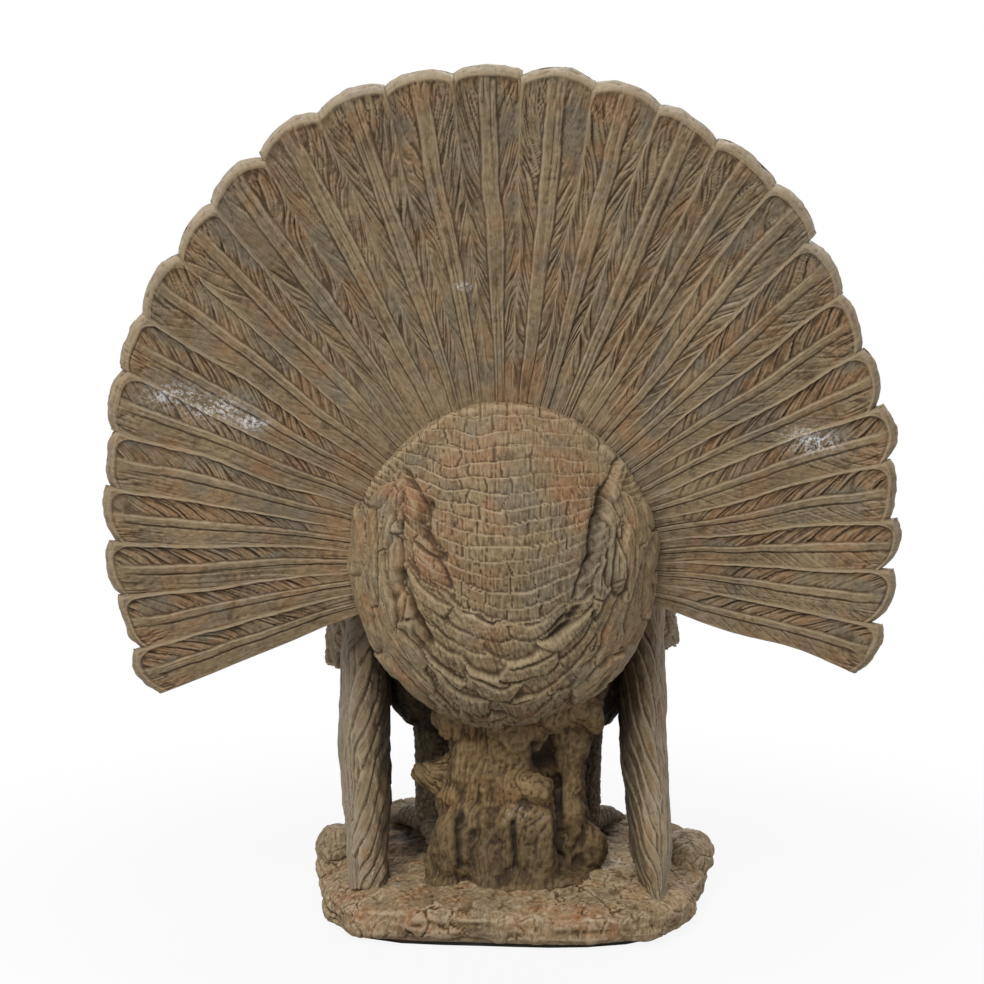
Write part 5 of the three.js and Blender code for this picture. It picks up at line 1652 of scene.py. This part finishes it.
class TURKEY_OT_stage(bpy.types.Operator):
    """Sets the floor, the lamps and the camera"""

    bl_idname = "turkey.stage"
    bl_label = "Stage"

    def execute(self, context):
        stage = context.scene.turkey_stage
        self.floor()
        self.world(context.scene, stage)
        for name, place, size, power in LAMPS:
            self.lamp(name, place, size, getattr(stage, power))
        self.camera(context.scene, stage)
        context.scene.view_settings.view_transform = "Standard"
        return {"FINISHED"}

    @staticmethod
    def floor():
        bpy.ops.object.select_all(action="DESELECT")
        bpy.ops.mesh.primitive_plane_add(size=12.0, location=(0, 0, -0.0004))
        floor = bpy.context.object
        floor.name = floor.data.name = "floor"
        paint = Paint("floor")
        paint.finish({"Base Color": (0.5, 0.5, 0.5, 1.0), "Roughness": 0.9})
        glow = paint.node("ShaderNodeEmission", {}, {"Color": (1, 1, 1, 1), "Strength": 1.0})
        kinds = ("Camera", "Glossy", "Transmission")
        rays = [paint.node("ShaderNodeLightPath", {}, {}, f"Is {kind} Ray") for kind in kinds]
        away = paint.node("ShaderNodeVectorMath", {"operation": "LENGTH"}, {0: paint.place()}, "Value")
        lit = Socket(paint, paint.shader.outputs[0])
        seen = rays[0].math("MAXIMUM", rays[0], rays[1].math("MAXIMUM", rays[1], rays[2]))
        share = seen * (0.9 + 0.1 * paint.rise(away, 0.15, 0.45))
        mixed = paint.node("ShaderNodeMixShader", {}, {0: share, 1: lit, 2: glow})
        paint.feed(paint.tree.nodes["Material Output"].inputs["Surface"], mixed)
        floor.data.materials.append(paint.material)

    @staticmethod
    def world(scene, stage):
        scene.world = scene.world or bpy.data.worlds.new("studio")
        scene.world.use_nodes = True
        tree = scene.world.node_tree
        tree.nodes.clear()
        path = tree.nodes.new("ShaderNodeLightPath")
        soft, white = (tree.nodes.new("ShaderNodeBackground") for _ in range(2))
        mixed = tree.nodes.new("ShaderNodeMixShader")
        soft.inputs["Color"].default_value = white.inputs["Color"].default_value = (1, 1, 1, 1)
        soft.inputs["Strength"].default_value = stage.ambient
        seen = path.outputs["Is Camera Ray"]
        for ray in ("Is Glossy Ray", "Is Transmission Ray"):
            either = tree.nodes.new("ShaderNodeMath")
            either.operation = "MAXIMUM"
            tree.links.new(seen, either.inputs[0])
            tree.links.new(path.outputs[ray], either.inputs[1])
            seen = either.outputs[0]
        tree.links.new(seen, mixed.inputs[0])
        tree.links.new(soft.outputs[0], mixed.inputs[1])
        tree.links.new(white.outputs[0], mixed.inputs[2])
        tree.links.new(mixed.outputs[0], tree.nodes.new("ShaderNodeOutputWorld").inputs["Surface"])

    @staticmethod
    def lamp(name, place, size, power):
        bpy.ops.object.light_add(type="AREA", location=place)
        lamp = bpy.context.object
        lamp.name = lamp.data.name = name
        lamp.data.shape, lamp.data.size, lamp.data.energy = "DISK", size, power
        lamp.rotation_euler = (Vector(LAMP_AIM) - Vector(place)).to_track_quat("-Z", "Y").to_euler()

    @staticmethod
    def camera(scene, stage):
        back = Vector((0, -math.cos(stage.elevation), math.sin(stage.elevation)))
        bpy.ops.object.camera_add(location=Vector(stage.target) + stage.distance * back)
        camera = bpy.context.object
        camera.name = camera.data.name = "camera"
        camera.rotation_euler = (-back).to_track_quat("-Z", "Y").to_euler()
        camera.data.sensor_width, camera.data.lens = SENSOR_WIDTH, LENS
        camera.data.clip_start, camera.data.clip_end = 0.05, 50.0
        scene.camera = camera


class TURKEY_PT_panel(bpy.types.Panel):
    """The steps that make the figure"""

    bl_idname = "TURKEY_PT_panel"
    bl_label = "Turkey Figure"
    bl_space_type = "VIEW_3D"
    bl_region_type = "UI"
    bl_category = "Turkey"

    def draw(self, context):
        for step in STEPS:
            self.layout.operator(step.bl_idname)
        for name in ("turkey_carving", "turkey_paint", "turkey_stage"):
            group = getattr(context.scene, name)
            for key in group.__annotations__:
                self.layout.prop(group, key)


STEPS = (
    TURKEY_OT_tail, TURKEY_OT_rump, TURKEY_OT_body, TURKEY_OT_wings, TURKEY_OT_legs, TURKEY_OT_head,
    TURKEY_OT_stump, TURKEY_OT_base, TURKEY_OT_stage,
)
GROUPS = {"turkey_carving": TurkeyCarving, "turkey_paint": TurkeyPaint, "turkey_stage": TurkeyStage}


def register():
    for one in (*GROUPS.values(), *STEPS, TURKEY_PT_panel):
        bpy.utils.register_class(one)
    for name, group in GROUPS.items():
        setattr(bpy.types.Scene, name, PointerProperty(type=group))


def unregister():
    for name in GROUPS:
        delattr(bpy.types.Scene, name)
    for one in reversed((*GROUPS.values(), *STEPS, TURKEY_PT_panel)):
        bpy.utils.unregister_class(one)


def main():
    register()
    for step in STEPS:
        group, name = step.bl_idname.split(".")
        getattr(getattr(bpy.ops, group), name)()


if __name__ == "__main__":
    main()
